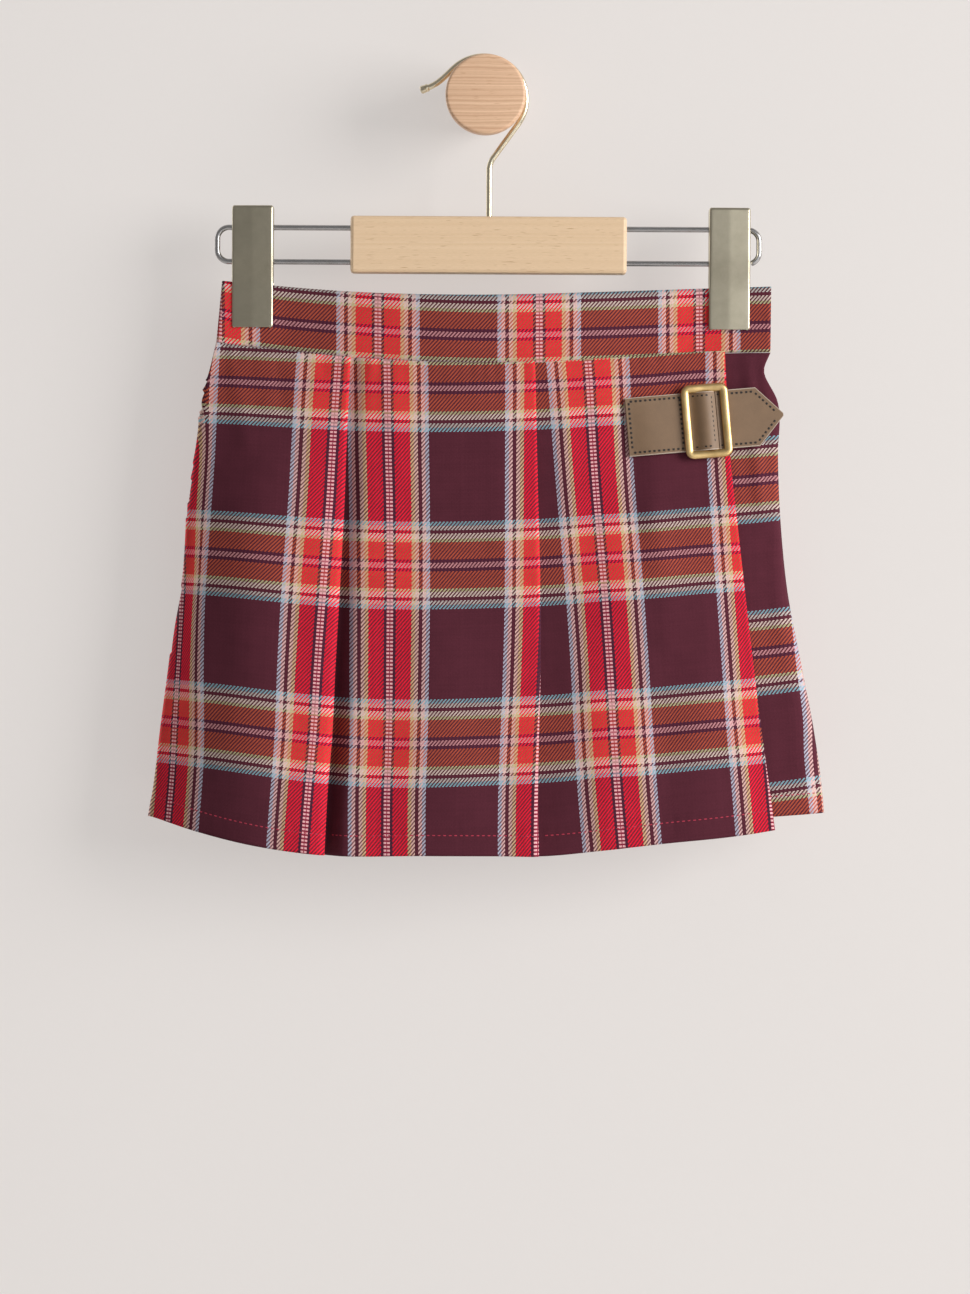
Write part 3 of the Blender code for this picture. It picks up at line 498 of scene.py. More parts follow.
def make_apron(finish):
    shares = np.linspace(0.0, 1.0, APRON_ROWS + 1)
    points = []
    weave = []
    for stretch, count in STRETCHES:
        last = count + 1 if stretch == "free" else count
        for index in range(last):
            part = index / count
            if stretch == "side":
                part = part ** SIDE_CROWD
            top_x = float(apron_section(stretch, part, np.array([0.0]))[0][0])
            hem_x = float(apron_section(stretch, part, np.array([APRON_DROP]))[0][0])
            high = float(BAND_LINES["seam"](top_x)) + SEAM_TUCK
            low = float(HEM_LINES["apron"](hem_x))
            drop = shares * (high - low)
            x, height, warp = apron_section(stretch, part, drop)
            turned = stretch.split()[0] in ("back", "turn", "out")
            turned = turned or (stretch[:4] == "over" and part > 0.5)
            relief = 0.0 if turned else sewn_relief(x, drop, high - low - drop)
            place_x, place_y = apron_place(x, height, drop, relief)
            z = high - drop
            points.append(np.stack([place_x, place_y, z], axis=1))
            weave.append(np.stack([warp, weft_at(x, z)], axis=1))
    grid = np.stack(points, axis=1)
    return cloth("apron_cloth", grid, np.stack(weave, axis=1), (0, -1, 0), 0.0, finish)


def gather_wave(x, drop, height, fade):
    """Outward ripple that the elastic draws into the back."""
    reach = across(x, drop)
    phase = GATHERS_EACH_SIDE * reach / PINCH_END
    wave = 0.5 - 0.5 * np.cos(2.0 * math.pi * phase)
    uneven = 0.75 + 0.25 * np.sin(5.3 * reach + np.where(x < 0, 1.0, 2.6))
    return height * wave * uneven * smoothstep((PINCH_END - reach) / 0.03) * fade


def ruche(x, drop):
    """Fine puckers that the elastic draws into the back, over its wider gathers."""
    reach = across(x, drop)
    wave = np.sin(x / RUCHE_WIDTH + 1.9 * np.sin(x / 8.3) + 0.9 * np.sin(x / 21.0))
    uneven = 0.65 + 0.35 * np.sin(x / 13.0 + 2.0)
    held = smoothstep((PINCH_END - reach) / 0.05) * np.exp(-drop / RUCHE_FADE)
    return RUCHE_HEIGHT * (0.5 + 0.5 * wave) * uneven * held


def shorts_place(part, drop, side, back):
    """Places on a leg panel: part 0 is the side seam, part 1 the centre seam or inseam."""
    outer = np.abs(EDGES["side_left" if side < 0 else "side_right"](drop))
    inset = left_inset(drop) if side < 0 and not back else CLOTH * roundness(drop)
    turn = smoothstep((drop - CROTCH_DROP + CROTCH_CURVE) / CROTCH_CURVE)
    split = LEG_SPLIT * smoothstep((drop - CROTCH_DROP) / LEG_SPLIT_REACH)
    inner = HALF_GAP + CLOTH * np.cbrt(turn) + split
    reach = 1.0 - part
    closing = mix(1.0, np.sqrt(np.maximum(0.0, 1.0 - part ** 6)), turn)
    x = side * mix(inner, outer - inset, reach)
    low = BACK_BULGE_WAIST if back else FRONT_BULGE_WAIST
    high = BACK_BULGE_HEM if back else FRONT_BULGE_HEM
    depth = mix(low, high, np.minimum(drop / SHORTS_DROP, 1.0)) * bulge(reach, drop) * closing
    if not back:
        return x, HANG_Y - HALF_GAP - depth
    fade = (1.0 - smoothstep(drop / GATHER_FADE)) * smoothstep(part / 0.02)
    depth = depth + gather_wave(x, drop, GATHER_HEIGHT, fade) * smoothstep((1.0 - part) / 0.02)
    depth = depth + crease_height(BACK_CREASES, x, drop) * closing * smoothstep(part / 0.1)
    return x, HANG_Y + HALF_GAP + depth


def shorts_relief(x, drop, from_hem, side, back):
    """What the sewing and the small folds add outwards to a leg panel."""
    if back:
        flat = smoothstep((np.abs(x) - 6.0) / 8.0)
        folds = (crease_height(BACK_FOLDS, x, drop) + np.abs(ripple(x, drop))) * flat
        sewn = np.maximum(sewn_relief(x, drop, from_hem), 0.0)
        return folds * smoothstep(drop / FOLD_FADE) + sewn + ruche(x, drop)
    if side < 0:
        return 0.0 * x
    free = smoothstep((x - EDGES["free_edge"](drop) - 3.0) / 4.0)
    sewn = np.maximum(sewn_relief(x, drop, from_hem), 0.0)
    return crease_height(STRIP_FOLDS, x, drop) * free + free * sewn


def make_leg_panel(name, side, back, columns, rows, finish):
    shares = np.linspace(0.0, 1.0, rows + 1)
    top_width = abs(BAND_LEFT_SEAM if side < 0 else BAND_RIGHT_SEAM)
    points = []
    weave = []
    for index in range(columns + 1):
        part = 0.5 - 0.5 * math.cos(math.pi * index / columns)
        part = mix(index / columns, part, 0.5)
        high = float(BAND_LINES["seam"](side * top_width * (1.0 - part))) - HALF_GAP
        low = float(HEM_LINES["leg"](side * LEG_HEM_HALF * (1.0 - part)))
        drop = shares * (high - low)
        x, y = shorts_place(part, drop, side, back)
        y = y + (1.0 if back else -1.0) * shorts_relief(x, drop, high - low - drop, side, back)
        z = high - drop
        points.append(np.stack([x, y, z], axis=1))
        weave.append(shorts_weave(x, z, drop, side, back))
    direction = 1.0 if back else -1.0
    grid = np.stack(points, axis=1)
    return cloth(name, grid, np.stack(weave, axis=1), (0, direction, 0), 1.0, finish)


SHORTS_ROW = -194.0
SHORTS_ROW_CLIMB = 0.0011
SHORTS_ROW_FROM = 90.0
SeamWarp = namedtuple("SeamWarp", "drop warp")
SEAM_WARPS = [
    SeamWarp(0.0, 54.0), SeamWarp(70.0, 55.0), SeamWarp(120.0, 58.6), SeamWarp(154.0, 61.4),
    SeamWarp(185.0, 63.4), SeamWarp(200.0, 65.2), SeamWarp(231.0, 65.6),
]
SEAM_WARP = Line(SEAM_WARPS, "drop", "warp")
FRONT_MIDDLE_WARP = -88.4
BACK_MIDDLE_WARP = 9.0
BACK_FULLNESS = 0.27
BACK_FULLNESS_FADE = 170.0


def shorts_weave(x, z, drop, side, back):
    climb = SHORTS_ROW_CLIMB * np.maximum(np.abs(x) - SHORTS_ROW_FROM, 0.0) ** 2
    weft = SHORTS_ROW + climb - z
    if back:
        gathered = 1.0 + BACK_FULLNESS * (1.0 - smoothstep(drop / BACK_FULLNESS_FADE))
        return np.stack([x * gathered + BACK_MIDDLE_WARP, weft], axis=1)
    seam = np.abs(EDGES["side_left" if side < 0 else "side_right"](drop)) - CLOTH
    warp = FRONT_MIDDLE_WARP + (SEAM_WARP(drop) - FRONT_MIDDLE_WARP) * np.abs(x) / seam
    return np.stack([warp * (1.0 if side > 0 else -1.0), weft], axis=1)


def make_band(name, back, columns, finish):
    """Waistband half: pinched flat at both clips, bowed between them."""
    direction = 1.0 if back else -1.0
    depth = BAND_BULGE_BACK if back else BAND_BULGE_FRONT
    share = np.concatenate([
        np.linspace(0.0, 0.08, 9), np.linspace(0.1, 0.9, 17), np.linspace(0.92, 1.0, 9)])
    left = mix(BAND_LEFT_TOP, BAND_LEFT_SEAM, share)
    right = mix(BAND_RIGHT_TOP, BAND_RIGHT_SEAM, share)
    points = []
    weave = []
    for index in range(columns + 1):
        x = mix(left, right, index / columns)
        top = BAND_LINES["top"](x)
        low = BAND_LINES["seam"](x) + HALF_GAP
        reach = np.abs(x / np.where(x < 0.0, left, right))
        out = depth * pinched(reach)
        if back:
            out = out + gather_wave(x, 0.0, BAND_GATHER_HEIGHT, 1.0) + ruche(x, 0.0)
        z = mix(top, low, share)
        points.append(np.stack([x, HANG_Y + direction * (HALF_GAP + out), z], axis=1))
        weave.append(np.stack([x + BAND_WARP, BAND_LINES["check"](x) - z], axis=1))
    from_edge = np.minimum(share, 1.0 - share) / BAND_ROUND
    taper = mix(BAND_EDGE, 1.0, np.sqrt(np.maximum(0.0, 1.0 - np.maximum(1.0 - from_edge, 0.0) ** 2)))
    grid = np.stack(points, axis=1)
    made = cloth(name, grid, np.stack(weave, axis=1), (0, direction, 0), 1.0, finish, taper)
    made.modifiers["thickness"].thickness = BAND * MM
    return made


GRIDS = {}


def cloth(name, points, weave, outward, offset, finish, taper=None):
    """Sheet through a grid of points (rows down, columns along) with its weave in metres as UV."""
    GRIDS[name] = points
    rows, columns = points.shape[:2]
    shell = bmesh.new()
    bmesh.ops.create_grid(shell, x_segments=columns - 1, y_segments=rows - 1, size=1.0)
    mesh = bpy.data.meshes.new(name)
    shell.to_mesh(mesh)
    shell.free()
    mesh.vertices.foreach_set("co", (points.reshape(-1, 3) * MM).ravel())
    corners = np.zeros(len(mesh.loops), dtype=np.int32)
    mesh.loops.foreach_get("vertex_index", corners)
    layer = mesh.uv_layers.new(name="weave")
    layer.data.foreach_set("uv", (weave.reshape(-1, 2)[corners] * MM).ravel())
    mesh.update()
    normals = np.zeros(len(mesh.polygons) * 3)
    mesh.polygons.foreach_get("normal", normals)
    if np.dot(normals.reshape(-1, 3).sum(axis=0), outward) < 0.0:
        mesh.flip_normals()
    mesh.shade_smooth()
    made = bpy.data.objects.new(name, mesh)
    made.data.materials.append(finish)
    bpy.context.scene.collection.objects.link(made)
    thick = made.modifiers.new("thickness", "SOLIDIFY")
    thick.thickness = THIN_SHELL * MM
    thick.offset = offset
    if taper is not None:
        group = made.vertex_groups.new(name="thickness")
        for row, weight in enumerate(taper):
            group.add(list(range(row * columns, (row + 1) * columns)), float(weight), "REPLACE")
        thick.vertex_group = group.name
    return made


class Value:
    """A shader socket that takes part in plain arithmetic."""

    def __init__(self, looks, socket):
        self.looks = looks
        self.socket = socket

    def __add__(self, other):
        return self.looks.maths("ADD", self, other)

    def __sub__(self, other):
        return self.looks.maths("SUBTRACT", self, other)

    def __rsub__(self, other):
        return self.looks.maths("SUBTRACT", other, self)

    def __mul__(self, other):
        return self.looks.maths("MULTIPLY", self, other)

    def __truediv__(self, other):
        return self.looks.maths("DIVIDE", self, other)

    def __rtruediv__(self, other):
        return self.looks.maths("DIVIDE", other, self)

    def __mod__(self, other):
        return self.looks.maths("FLOORED_MODULO", self, other)

    def __abs__(self):
        return self.looks.maths("ABSOLUTE", self)

    def __lt__(self, other):
        return self.looks.maths("LESS_THAN", self, other)

    def __gt__(self, other):
        return self.looks.maths("GREATER_THAN", self, other)

    __radd__ = __add__
    __rmul__ = __mul__


class Looks:
    """One material: its nodes, its sockets as values and its surface."""

    def __init__(self, name):
        self.material = bpy.data.materials.new(name)
        self.material.use_nodes = True
        self.tree = self.material.node_tree
        self.surface = self.tree.nodes["Principled BSDF"]

    def node(self, kind, settings=(), values=(), out=0):
        """Make a node; values are numbers, tuples or other values, by socket."""
        made = self.tree.nodes.new(kind)
        for name, setting in dict(settings).items():
            setattr(made, name, setting)
        self.feed(made, values)
        return Value(self, made.outputs[out])

    def feed(self, made, values):
        for name, value in dict(values).items():
            if isinstance(value, Value):
                self.tree.links.new(value.socket, made.inputs[name])
            else:
                made.inputs[name].default_value = value

    def maths(self, operation, *values):
        return self.node("ShaderNodeMath", {"operation": operation}, dict(enumerate(values)))

    def blend(self, share, first, second, how="MIX"):
        """Mix two colours, each a value or red, green and blue."""
        settings = {"data_type": "RGBA", "blend_type": how, "clamp_factor": True}
        first, second = [c if isinstance(c, Value) else (*c, 1.0) for c in (first, second)]
        return self.node("ShaderNodeMix", settings, {0: share, 6: first, 7: second}, out=2)

    def shaded(self, colour, level):
        """A colour made lighter or darker by a level."""
        grey = self.node("ShaderNodeCombineColor", (), {0: level, 1: level, 2: level})
        return self.blend(1.0, colour, grey, "MULTIPLY")

    def ramp(self, at, stops, interpolation="LINEAR"):
        made = self.node("ShaderNodeValToRGB", (), {0: at})
        colours = made.socket.node.color_ramp
        colours.interpolation = interpolation
        while len(colours.elements) < len(stops):
            colours.elements.new(1.0)
        for element, (position, colour) in zip(colours.elements, stops):
            element.position = position
            element.color = (*colour, 1.0)
        return made

    def noise(self, where, scale, detail=2.0, roughness=0.5):
        values = {"Vector": where, "Scale": scale, "Detail": detail, "Roughness": roughness}
        return self.node("ShaderNodeTexNoise", (), values)

    def place(self, stretch=(1.0, 1.0, 1.0)):
        """Object coordinates in millimetres, stretched."""
        where = self.node("ShaderNodeTexCoord", out=3)
        values = {"Vector": where, "Scale": tuple(s / MM for s in stretch)}
        return self.node("ShaderNodeMapping", (), values)

    def weave(self):
        """The cloth's own warp and weft places, in millimetres."""
        where = self.node("ShaderNodeUVMap", {"uv_map": "weave"})
        parts = self.node("ShaderNodeSeparateXYZ", (), {0: where}).socket.node
        return Value(self, parts.outputs[0]) / MM, Value(self, parts.outputs[1]) / MM

    def bump(self, height, strength, distance):
        values = {"Height": height, "Strength": strength, "Distance": distance * MM}
        return self.node("ShaderNodeBump", (), values)

    def finish(self, **values):
        named = {name.replace("_", " "): value for name, value in values.items()}
        self.feed(self.surface, named)
        return self.material


BLACK = (0.0, 0.0, 0.0)
WHITE = (1.0, 1.0, 1.0)

# Yarns of the check, as linear colours, and its stripes from the middle of a group outwards.
MAROON = (0.086, 0.019, 0.031)
LADDER_WHITE = (0.76, 0.40, 0.42)
LADDER_ROSE = (0.36, 0.026, 0.060)
LADDER_DARK = (0.062, 0.014, 0.034)
RED = (0.76, 0.013, 0.038)
YELLOW_TAN = (0.64, 0.42, 0.24)
PINK_TAN = (0.68, 0.43, 0.38)
ROSE_GREY = (0.68, 0.42, 0.41)
ICE_BLUE = (0.42, 0.43, 0.53)
PINK_GREY = (0.54, 0.25, 0.27)
PLUM = (0.062, 0.014, 0.036)
RUST = (0.43, 0.082, 0.042)
OLIVE = (0.47, 0.455, 0.25)
CREAM = (0.62, 0.51, 0.45)
PALE_GREY = (0.48, 0.45, 0.42)
TEAL = (0.20, 0.38, 0.44)

# The weave: width of a warp end and of a weft pick, and the two-up two-down twill that they make.
WARP_END = WARP_REPEAT / 168
WEFT_PICK = WEFT_REPEAT / 164
TWILL_STEPS = 4.0
TWILL_OVER = 1.5
PICK_EDGE = 0.42
# YARN_ROUND: how much darker each yarn is painted towards its edges, painted shade, and how deep its bump is.
YARN_ROUND = 2.6

WARP_STRIPES = [
    (0.0, LADDER_ROSE), (1.6, LADDER_DARK), (2.9, RED), (11.0, YELLOW_TAN), (12.9, PINK_TAN), (15.0, MAROON),
    (17.0, ROSE_GREY), (18.8, ICE_BLUE), (20.6, MAROON)]
WEFT_STRIPES = [
    (0.0, PINK_GREY), (1.25, PLUM), (2.75, RUST), (11.25, OLIVE), (13.1, CREAM), (15.25, MAROON),
    (17.25, PALE_GREY), (19.0, TEAL), (21.25, MAROON)]

# Ladder in the middle of the red stripe: half its width, a rung with its gap, half the gap between columns.
LADDER_HALF = 1.5
LADDER_RUNG = 1.84
LADDER_SPLIT = 0.2
LADDER_ROSE_SHARE = 0.55


def make_tartan(name):
    """Twill in which every yarn has its colour, and painted shade darkens each float towards its edges and in
    the gaps between yarns.
    """
    looks = Looks(name)
    warp, weft = looks.weave()
    end = warp / WARP_END + 0.5
    pick = weft / WEFT_PICK + 0.5
    end_number = looks.maths("FLOOR", end)
    pick_number = looks.maths("FLOOR", pick)
    over_end = looks.maths("FRACT", end) - 0.5
    over_pick = looks.maths("FRACT", pick) - 0.5
    sideways = (end_number * WARP_END + WARP_REPEAT / 2) % WARP_REPEAT - WARP_REPEAT / 2
    from_middle = abs(sideways)
    from_row = abs((pick_number * WEFT_PICK + WEFT_REPEAT / 2) % WEFT_REPEAT - WEFT_REPEAT / 2)
    half = WARP_REPEAT / 2
    warp_colour = looks.ramp(from_middle / half, [(d / half, c) for d, c in WARP_STRIPES], "CONSTANT")
    half = WEFT_REPEAT / 2
    weft_colour = looks.ramp(from_row / half, [(d / half, c) for d, c in WEFT_STRIPES], "CONSTANT")
    over = ((end_number + pick_number) % TWILL_STEPS) < TWILL_OVER
    edge_of_pick = abs(over_pick) > PICK_EDGE
    shows = looks.maths("MAXIMUM", over, edge_of_pick)
    colour = looks.blend(shows, weft_colour, warp_colour)
    rung = ((weft / LADDER_RUNG % 1.0) < 0.5) * (from_middle > LADDER_SPLIT)
    between = looks.blend(LADDER_ROSE_SHARE, weft_colour, LADDER_ROSE)
    rungs = looks.blend(rung, between, LADDER_WHITE)
    colour = looks.blend(from_middle < LADDER_HALF, colour, rungs)
    # Painted shade: each yarn is painted darker towards its edges and the gaps between yarns; the same
    # profile is also the bump's height.
    warp_round_and_painted_shade = 1.0 - over_end * over_end * YARN_ROUND
    weft_round_and_painted_shade = 1.0 - over_pick * over_pick * YARN_ROUND
    profile = warp_round_and_painted_shade * over + weft_round_and_painted_shade * (1.0 - over)
    yarn = looks.node("ShaderNodeCombineXYZ", (), {0: end_number * over, 1: pick_number * (1.0 - over)})
    uneven = looks.node("ShaderNodeTexWhiteNoise", {"noise_dimensions": "3D"}, {"Vector": yarn})
    cloudy = looks.noise(looks.place(), 0.11, 3.0)
    fibres = looks.noise(looks.place(), 2.6, 2.0)
    # Painted yarn shade from the profile, plus random tone for each yarn, cloudy patches and fibres.
    level = 0.56 + profile * 0.5 + uneven * 0.12 - 0.06 + (cloudy - 0.5) * 0.22 + (fibres - 0.5) * 0.34
    relief = looks.bump(profile + fibres * 0.5, 0.35, 0.09)
    return looks.finish(
        Base_Color=looks.shaded(colour, level), Roughness=0.88, Normal=relief, Sheen_Weight=0.02,
        Sheen_Roughness=0.5, Specular_IOR_Level=0.08)


def make_metal(name, colour, worn, roughness, grain, streaks=(1.0, 1.0, 1.0)):
    """Metal with a fine grain, faint cloudy tarnish and uneven polish."""
    looks = Looks(name)
    tarnish = looks.noise(looks.place(), 0.12, 4.0, 0.6)
    scratches = looks.noise(looks.place(streaks), grain, 3.0, 0.6)
    base = looks.blend(looks.ramp(tarnish, [(0.35, BLACK), (0.75, WHITE)]), colour, worn)
    polish = roughness + (scratches - 0.5) * 0.16 + (tarnish - 0.5) * 0.1
    return looks.finish(
        Base_Color=base, Metallic=1.0, Roughness=polish, Normal=looks.bump(scratches, 0.12, 0.05))


def make_wood(name, pale, dark, fleck, rings, wander):
    """Wood with its grain along X: growth lines, fine pores and short dark flecks."""
    looks = Looks(name)
    wavy = looks.noise(looks.place((0.02, 0.09, 0.09)), 1.0, 2.0)
    where = looks.place((0.0, 0.25, 1.0))
    height = looks.node("ShaderNodeSeparateXYZ", (), {0: where}).socket.node
    along = Value(looks, height.outputs[2]) + Value(looks, height.outputs[1]) + wavy * wander
    lines = looks.noise(looks.node("ShaderNodeCombineXYZ", (), {0: along}), rings, 3.0, 0.65)
    pores = looks.noise(looks.place((0.35, 5.0, 5.0)), 1.0, 3.0, 0.7)
    spots = looks.noise(looks.place((0.13, 1.5, 1.5)), 1.0, 1.0)
    colour = looks.blend(looks.ramp(lines, [(0.38, BLACK), (0.68, WHITE)]), pale, dark)
    colour = looks.blend(looks.ramp(spots, [(0.65, BLACK), (0.74, (0.7, 0.7, 0.7))]), colour, fleck)
    shade = looks.ramp(pores, [(0.3, (0.9, 0.9, 0.9)), (0.62, WHITE)])
    colour = looks.blend(1.0, colour, shade, "MULTIPLY")
    return looks.finish(
        Base_Color=colour, Roughness=0.5 + (pores - 0.5) * 0.2, Specular_IOR_Level=0.35,
        Normal=looks.bump(pores + lines * 0.5, 0.15, 0.12))


def make_leather(name, face, edge, half):
    """Coated leather: fine pebbled grain with painted shade in its grooves, faint scuffs and pale cut edges.
    """
    looks = Looks(name)
    _, over = looks.weave()
    pebbles = looks.node("ShaderNodeTexVoronoi", {"feature": "DISTANCE_TO_EDGE"}, {
        "Vector": looks.place(), "Scale": 2.2})
    cloudy = looks.noise(looks.place(), 0.16, 4.0, 0.6)
    fine = looks.noise(looks.place(), 3.5, 2.0)
    # Darker in the grooves between the pebbles: painted shade; the cloudy and fine noise give random tone.
    level = 0.86 + (cloudy - 0.5) * 0.3 + (fine - 0.5) * 0.22 + looks.maths("MINIMUM", pebbles, 0.12) * 0.9
    colour = looks.blend(abs(over) > half, looks.shaded(face, level), edge)
    return looks.finish(
        Base_Color=colour, Roughness=0.56 + (cloudy - 0.5) * 0.2,
        Normal=looks.bump(pebbles + fine * 0.4, 0.3, 0.1))


def make_thread(name, colour):
    """Sewing thread: noise along its plies mixes a shaded and a lit copy of its colour, painted shade and
    highlight.
    """
    looks = Looks(name)
    plies = looks.noise(looks.place((3.0, 3.0, 1.2)), 1.5, 2.0)
    # Painted light: a darker, shaded copy and a lighter, lit copy of the thread's colour, mixed by the ply
    # noise.
    lit_and_shaded_plies = looks.blend(plies, [c * 0.75 for c in colour], [min(1.0, c * 1.3) for c in colour])
    return looks.finish(Base_Color=lit_and_shaded_plies, Roughness=0.7, Normal=looks.bump(plies, 0.3, 0.05))


def make_paint(name, colour, grain, glow, see_through):
    """Matt painted surface with a faint glow; see_through leaves it clear from behind."""
    looks = Looks(name)
    stipple = looks.noise(looks.place(), grain, 3.0)
    patches = looks.noise(looks.place(), 0.004, 2.0)
    level = 0.985 + (stipple - 0.5) * 0.02 + (patches - 0.5) * 0.03
    made = looks.finish(
        Base_Color=looks.shaded(colour, level), Roughness=0.9, Normal=looks.bump(stipple, 0.06, 0.3),
        Specular_IOR_Level=0.1, Emission_Color=(*GLOW, 1.0), Emission_Strength=glow)
    if see_through:
        behind = looks.node("ShaderNodeNewGeometry", out=6)
        clear = looks.node("ShaderNodeBsdfTransparent")
        painted = Value(looks, looks.surface.outputs[0])
        shown = looks.node("ShaderNodeMixShader", (), {0: behind, 1: painted, 2: clear})
        looks.feed(looks.tree.nodes["Material Output"], {"Surface": shown})
    return made


# Leather strap and slide buckle on the apron.
STRAP_CENTRE_X = 110.3
STRAP_CENTRE_Z = -162.4
STRAP_TILT = math.radians(4.9)
STRAP_HALF = 14.7
STRAP_THICK = 1.4
STRAP_START = -40.0
STRAP_SPLIT = 4.5
STRAP_SHOULDER = 25.5
STRAP_POINT = 38.4
STRAP_POINT_HALF = 0.8
STRAP_ARCH = 3.3
STRAP_ARCH_HALF = 7.6
STRAP_LIFT = 0.7
STRAP_EASED = 0.35
STRAP_LEVEL_FROM = 3.0
STRAP_LEVEL_SLOPE = 0.05
BUCKLE_HALF_WIDE = 11.8
BUCKLE_HALF_TALL = 18.6
BUCKLE_BAR_WIDE = 4.2
BUCKLE_BAR_THICK = 2.4
BUCKLE_CORNER = 3.2
BUCKLE_PIN = 1.6

# Hanger: wire, bar and clips.
WIRE = 3.0
RAIL_WIRE = 2.8
HANGER_TILT = math.radians(0.3)
BAR_CENTRE_Z = -74.3
BAR_TALL = 28.5
BAR_TOP = BAR_CENTRE_Z + BAR_TALL / 2
STEM_DEPTH = 3.2
STEM_X = 2.05
RAIL_UPPER_Z = -65.9
RAIL_LOWER_Z = -83.0
RAIL_LEFT_X = -133.7
RAIL_RIGHT_X = 137.2
RAIL_CORNER = 5.8
RAIL_INNER_END_X = 112.0
RAIL_END_TURN = -72.0
RAIL_END_TAPER = 0.3
ELBOW_Z = -33.2
ELBOW_REACH = 3.4
LOOP_CENTRE_X = -1.1
LOOP_CENTRE_Z = -1.1
LOOP_RADIUS = 21.4
LOOP_START = -36.0
LOOP_END = 132.0
TIP_BEND = [(-19.6, 11.2), (-23.2, 6.4), (-29.0, 4.4)]
CLIP_WIDE = 20.7
CLIP_TALL = 60.3
CLIP_SHEET = 1.0
CLIP_CORNER = 0.9
CLIP_CORNER_BACK = 0.8
CLIP_BEND = 0.75
CLIP_FACE = 6.6
CLIP_CROWN = 0.25
CLIP_TAPER_START = 0.3
CLIP_TAPER_SHARE = 0.42
CLIP_FOOT = 1.0
CLIP_GRIP_START = 31.0
CLIP_GRIP_REACH = 4.5
CLIP_CHEEK_LEAST = 0.45
CLIP_EASED = 0.22
CLIP_LEFT_X = -115.9
CLIP_RIGHT_X = 122.3
CLIP_TOP_Z = -55.6
CLIP_SKEW = 0.05
SPRING_RADIUS = 4.65
SPRING_WIRE = 1.0
SPRING_LONG = 12.0
SPRING_TURNS = 9


def strap_place(along, over):
    x = STRAP_CENTRE_X + along * math.cos(STRAP_TILT) - over * math.sin(STRAP_TILT)
    z = STRAP_CENTRE_Z + along * math.sin(STRAP_TILT) + over * math.cos(STRAP_TILT)
    return x, z


def apron_face(x, z):
    """Front face of the free panel, carried on nearly level past the free edge."""
    drop = BAND_LINES["seam"](x) - z
    edge_x = EDGES["free_edge"](drop) - STRAP_LEVEL_FROM
    held = np.minimum(x, edge_x)
    y = apron_place(held, free_panel_level(held, drop) + CLOTH / 2, drop)[1]
    return y + STRAP_LEVEL_SLOPE * np.maximum(0.0, x - edge_x)


def strap_half(along):
    taper = (along - STRAP_SHOULDER) / (STRAP_POINT - STRAP_SHOULDER)
    return np.where(along > STRAP_SHOULDER, mix(STRAP_HALF, STRAP_POINT_HALF, taper), STRAP_HALF)


def strap_surface(along, over):
    """A place on the strap's outer face; over is in millimetres from its middle."""
    x, z = strap_place(along, over)
    arch = np.cos(math.pi / 2 * np.minimum(np.abs(along) / STRAP_ARCH_HALF, 1.0)) ** 2
    lift = STRAP_LIFT + STRAP_ARCH * arch
    return np.stack([x, apron_face(x, z) - lift, z], axis=-1)


def ease(made, width, segments):
    """Round a sheet's cut edges a little."""
    soft = made.modifiers.new("eased edge", "BEVEL")
    soft.width = width * MM
    soft.segments = segments
    soft.limit_method = "ANGLE"
    soft.angle_limit = math.radians(50.0)
    return made


def make_strap(name, start, end, count, finish):
    along = np.linspace(start, end, count + 1)[None, :]
    over = np.linspace(1.0, -1.0, 41)[:, None]
    reach = over * strap_half(along)
    points = strap_surface(along + 0.0 * over, reach)
    inside = STRAP_HALF * np.sign(over) * (1.0 - (1.0 - np.abs(over)) * strap_half(along) / STRAP_HALF)
    weave = np.stack([along + 0.0 * over, inside], axis=-1)
    made = cloth(name, points, weave, (0, -1, 0), 1.0, finish)
    made.modifiers["thickness"].thickness = STRAP_THICK * MM
    return ease(made, STRAP_EASED, 3)


def sweep(name, path, radii, aside, sides, finish, closed=False):
    """Round wire along a path; aside gives, at each point, a direction square to the wire."""
    path = np.array(path, dtype=float)
    if closed:
        along = np.roll(path, -1, axis=0) - np.roll(path, 1, axis=0)
    else:
        along = np.gradient(path, axis=0)
    along /= np.linalg.norm(along, axis=1, keepdims=True)
    aside = np.broadcast_to(np.array(aside, dtype=float), path.shape)
    aside = aside - along * np.sum(aside * along, axis=1, keepdims=True)
    aside /= np.linalg.norm(aside, axis=1, keepdims=True)
    other = np.cross(along, aside)
    shell = bmesh.new()
    rings = []
    for place, radius, first, second in zip(path, radii, aside, other):
        ring = []
        for side in range(sides):
            angle = 2.0 * math.pi * side / sides
            out = first * math.cos(angle) + second * math.sin(angle)
            ring.append(shell.verts.new((place + radius * out) * MM))
        rings.append(ring)
    join_rings(shell, rings, closed)
    return add_mesh(name, shell, finish)


def join_rings(shell, rings, closed):
    pairs = list(zip(rings, rings[1:])) + ([(rings[-1], rings[0])] if closed else [])
    for first, second in pairs:
        for side in range(len(first)):
            following = (side + 1) % len(first)
            shell.faces.new((first[side], first[following], second[following], second[side]))
    if not closed:
        shell.faces.new(rings[0][::-1])
        shell.faces.new(rings[-1])


def add_mesh(name, shell, finish, sharp=40.0):
    bmesh.ops.recalc_face_normals(shell, faces=shell.faces)
    mesh = bpy.data.meshes.new(name)
    shell.to_mesh(mesh)
    shell.free()
    mesh.shade_smooth()
    mesh.set_sharp_from_angle(angle=math.radians(sharp))
    made = bpy.data.objects.new(name, mesh)
    made.data.materials.append(finish)
    bpy.context.scene.collection.objects.link(made)
    return made


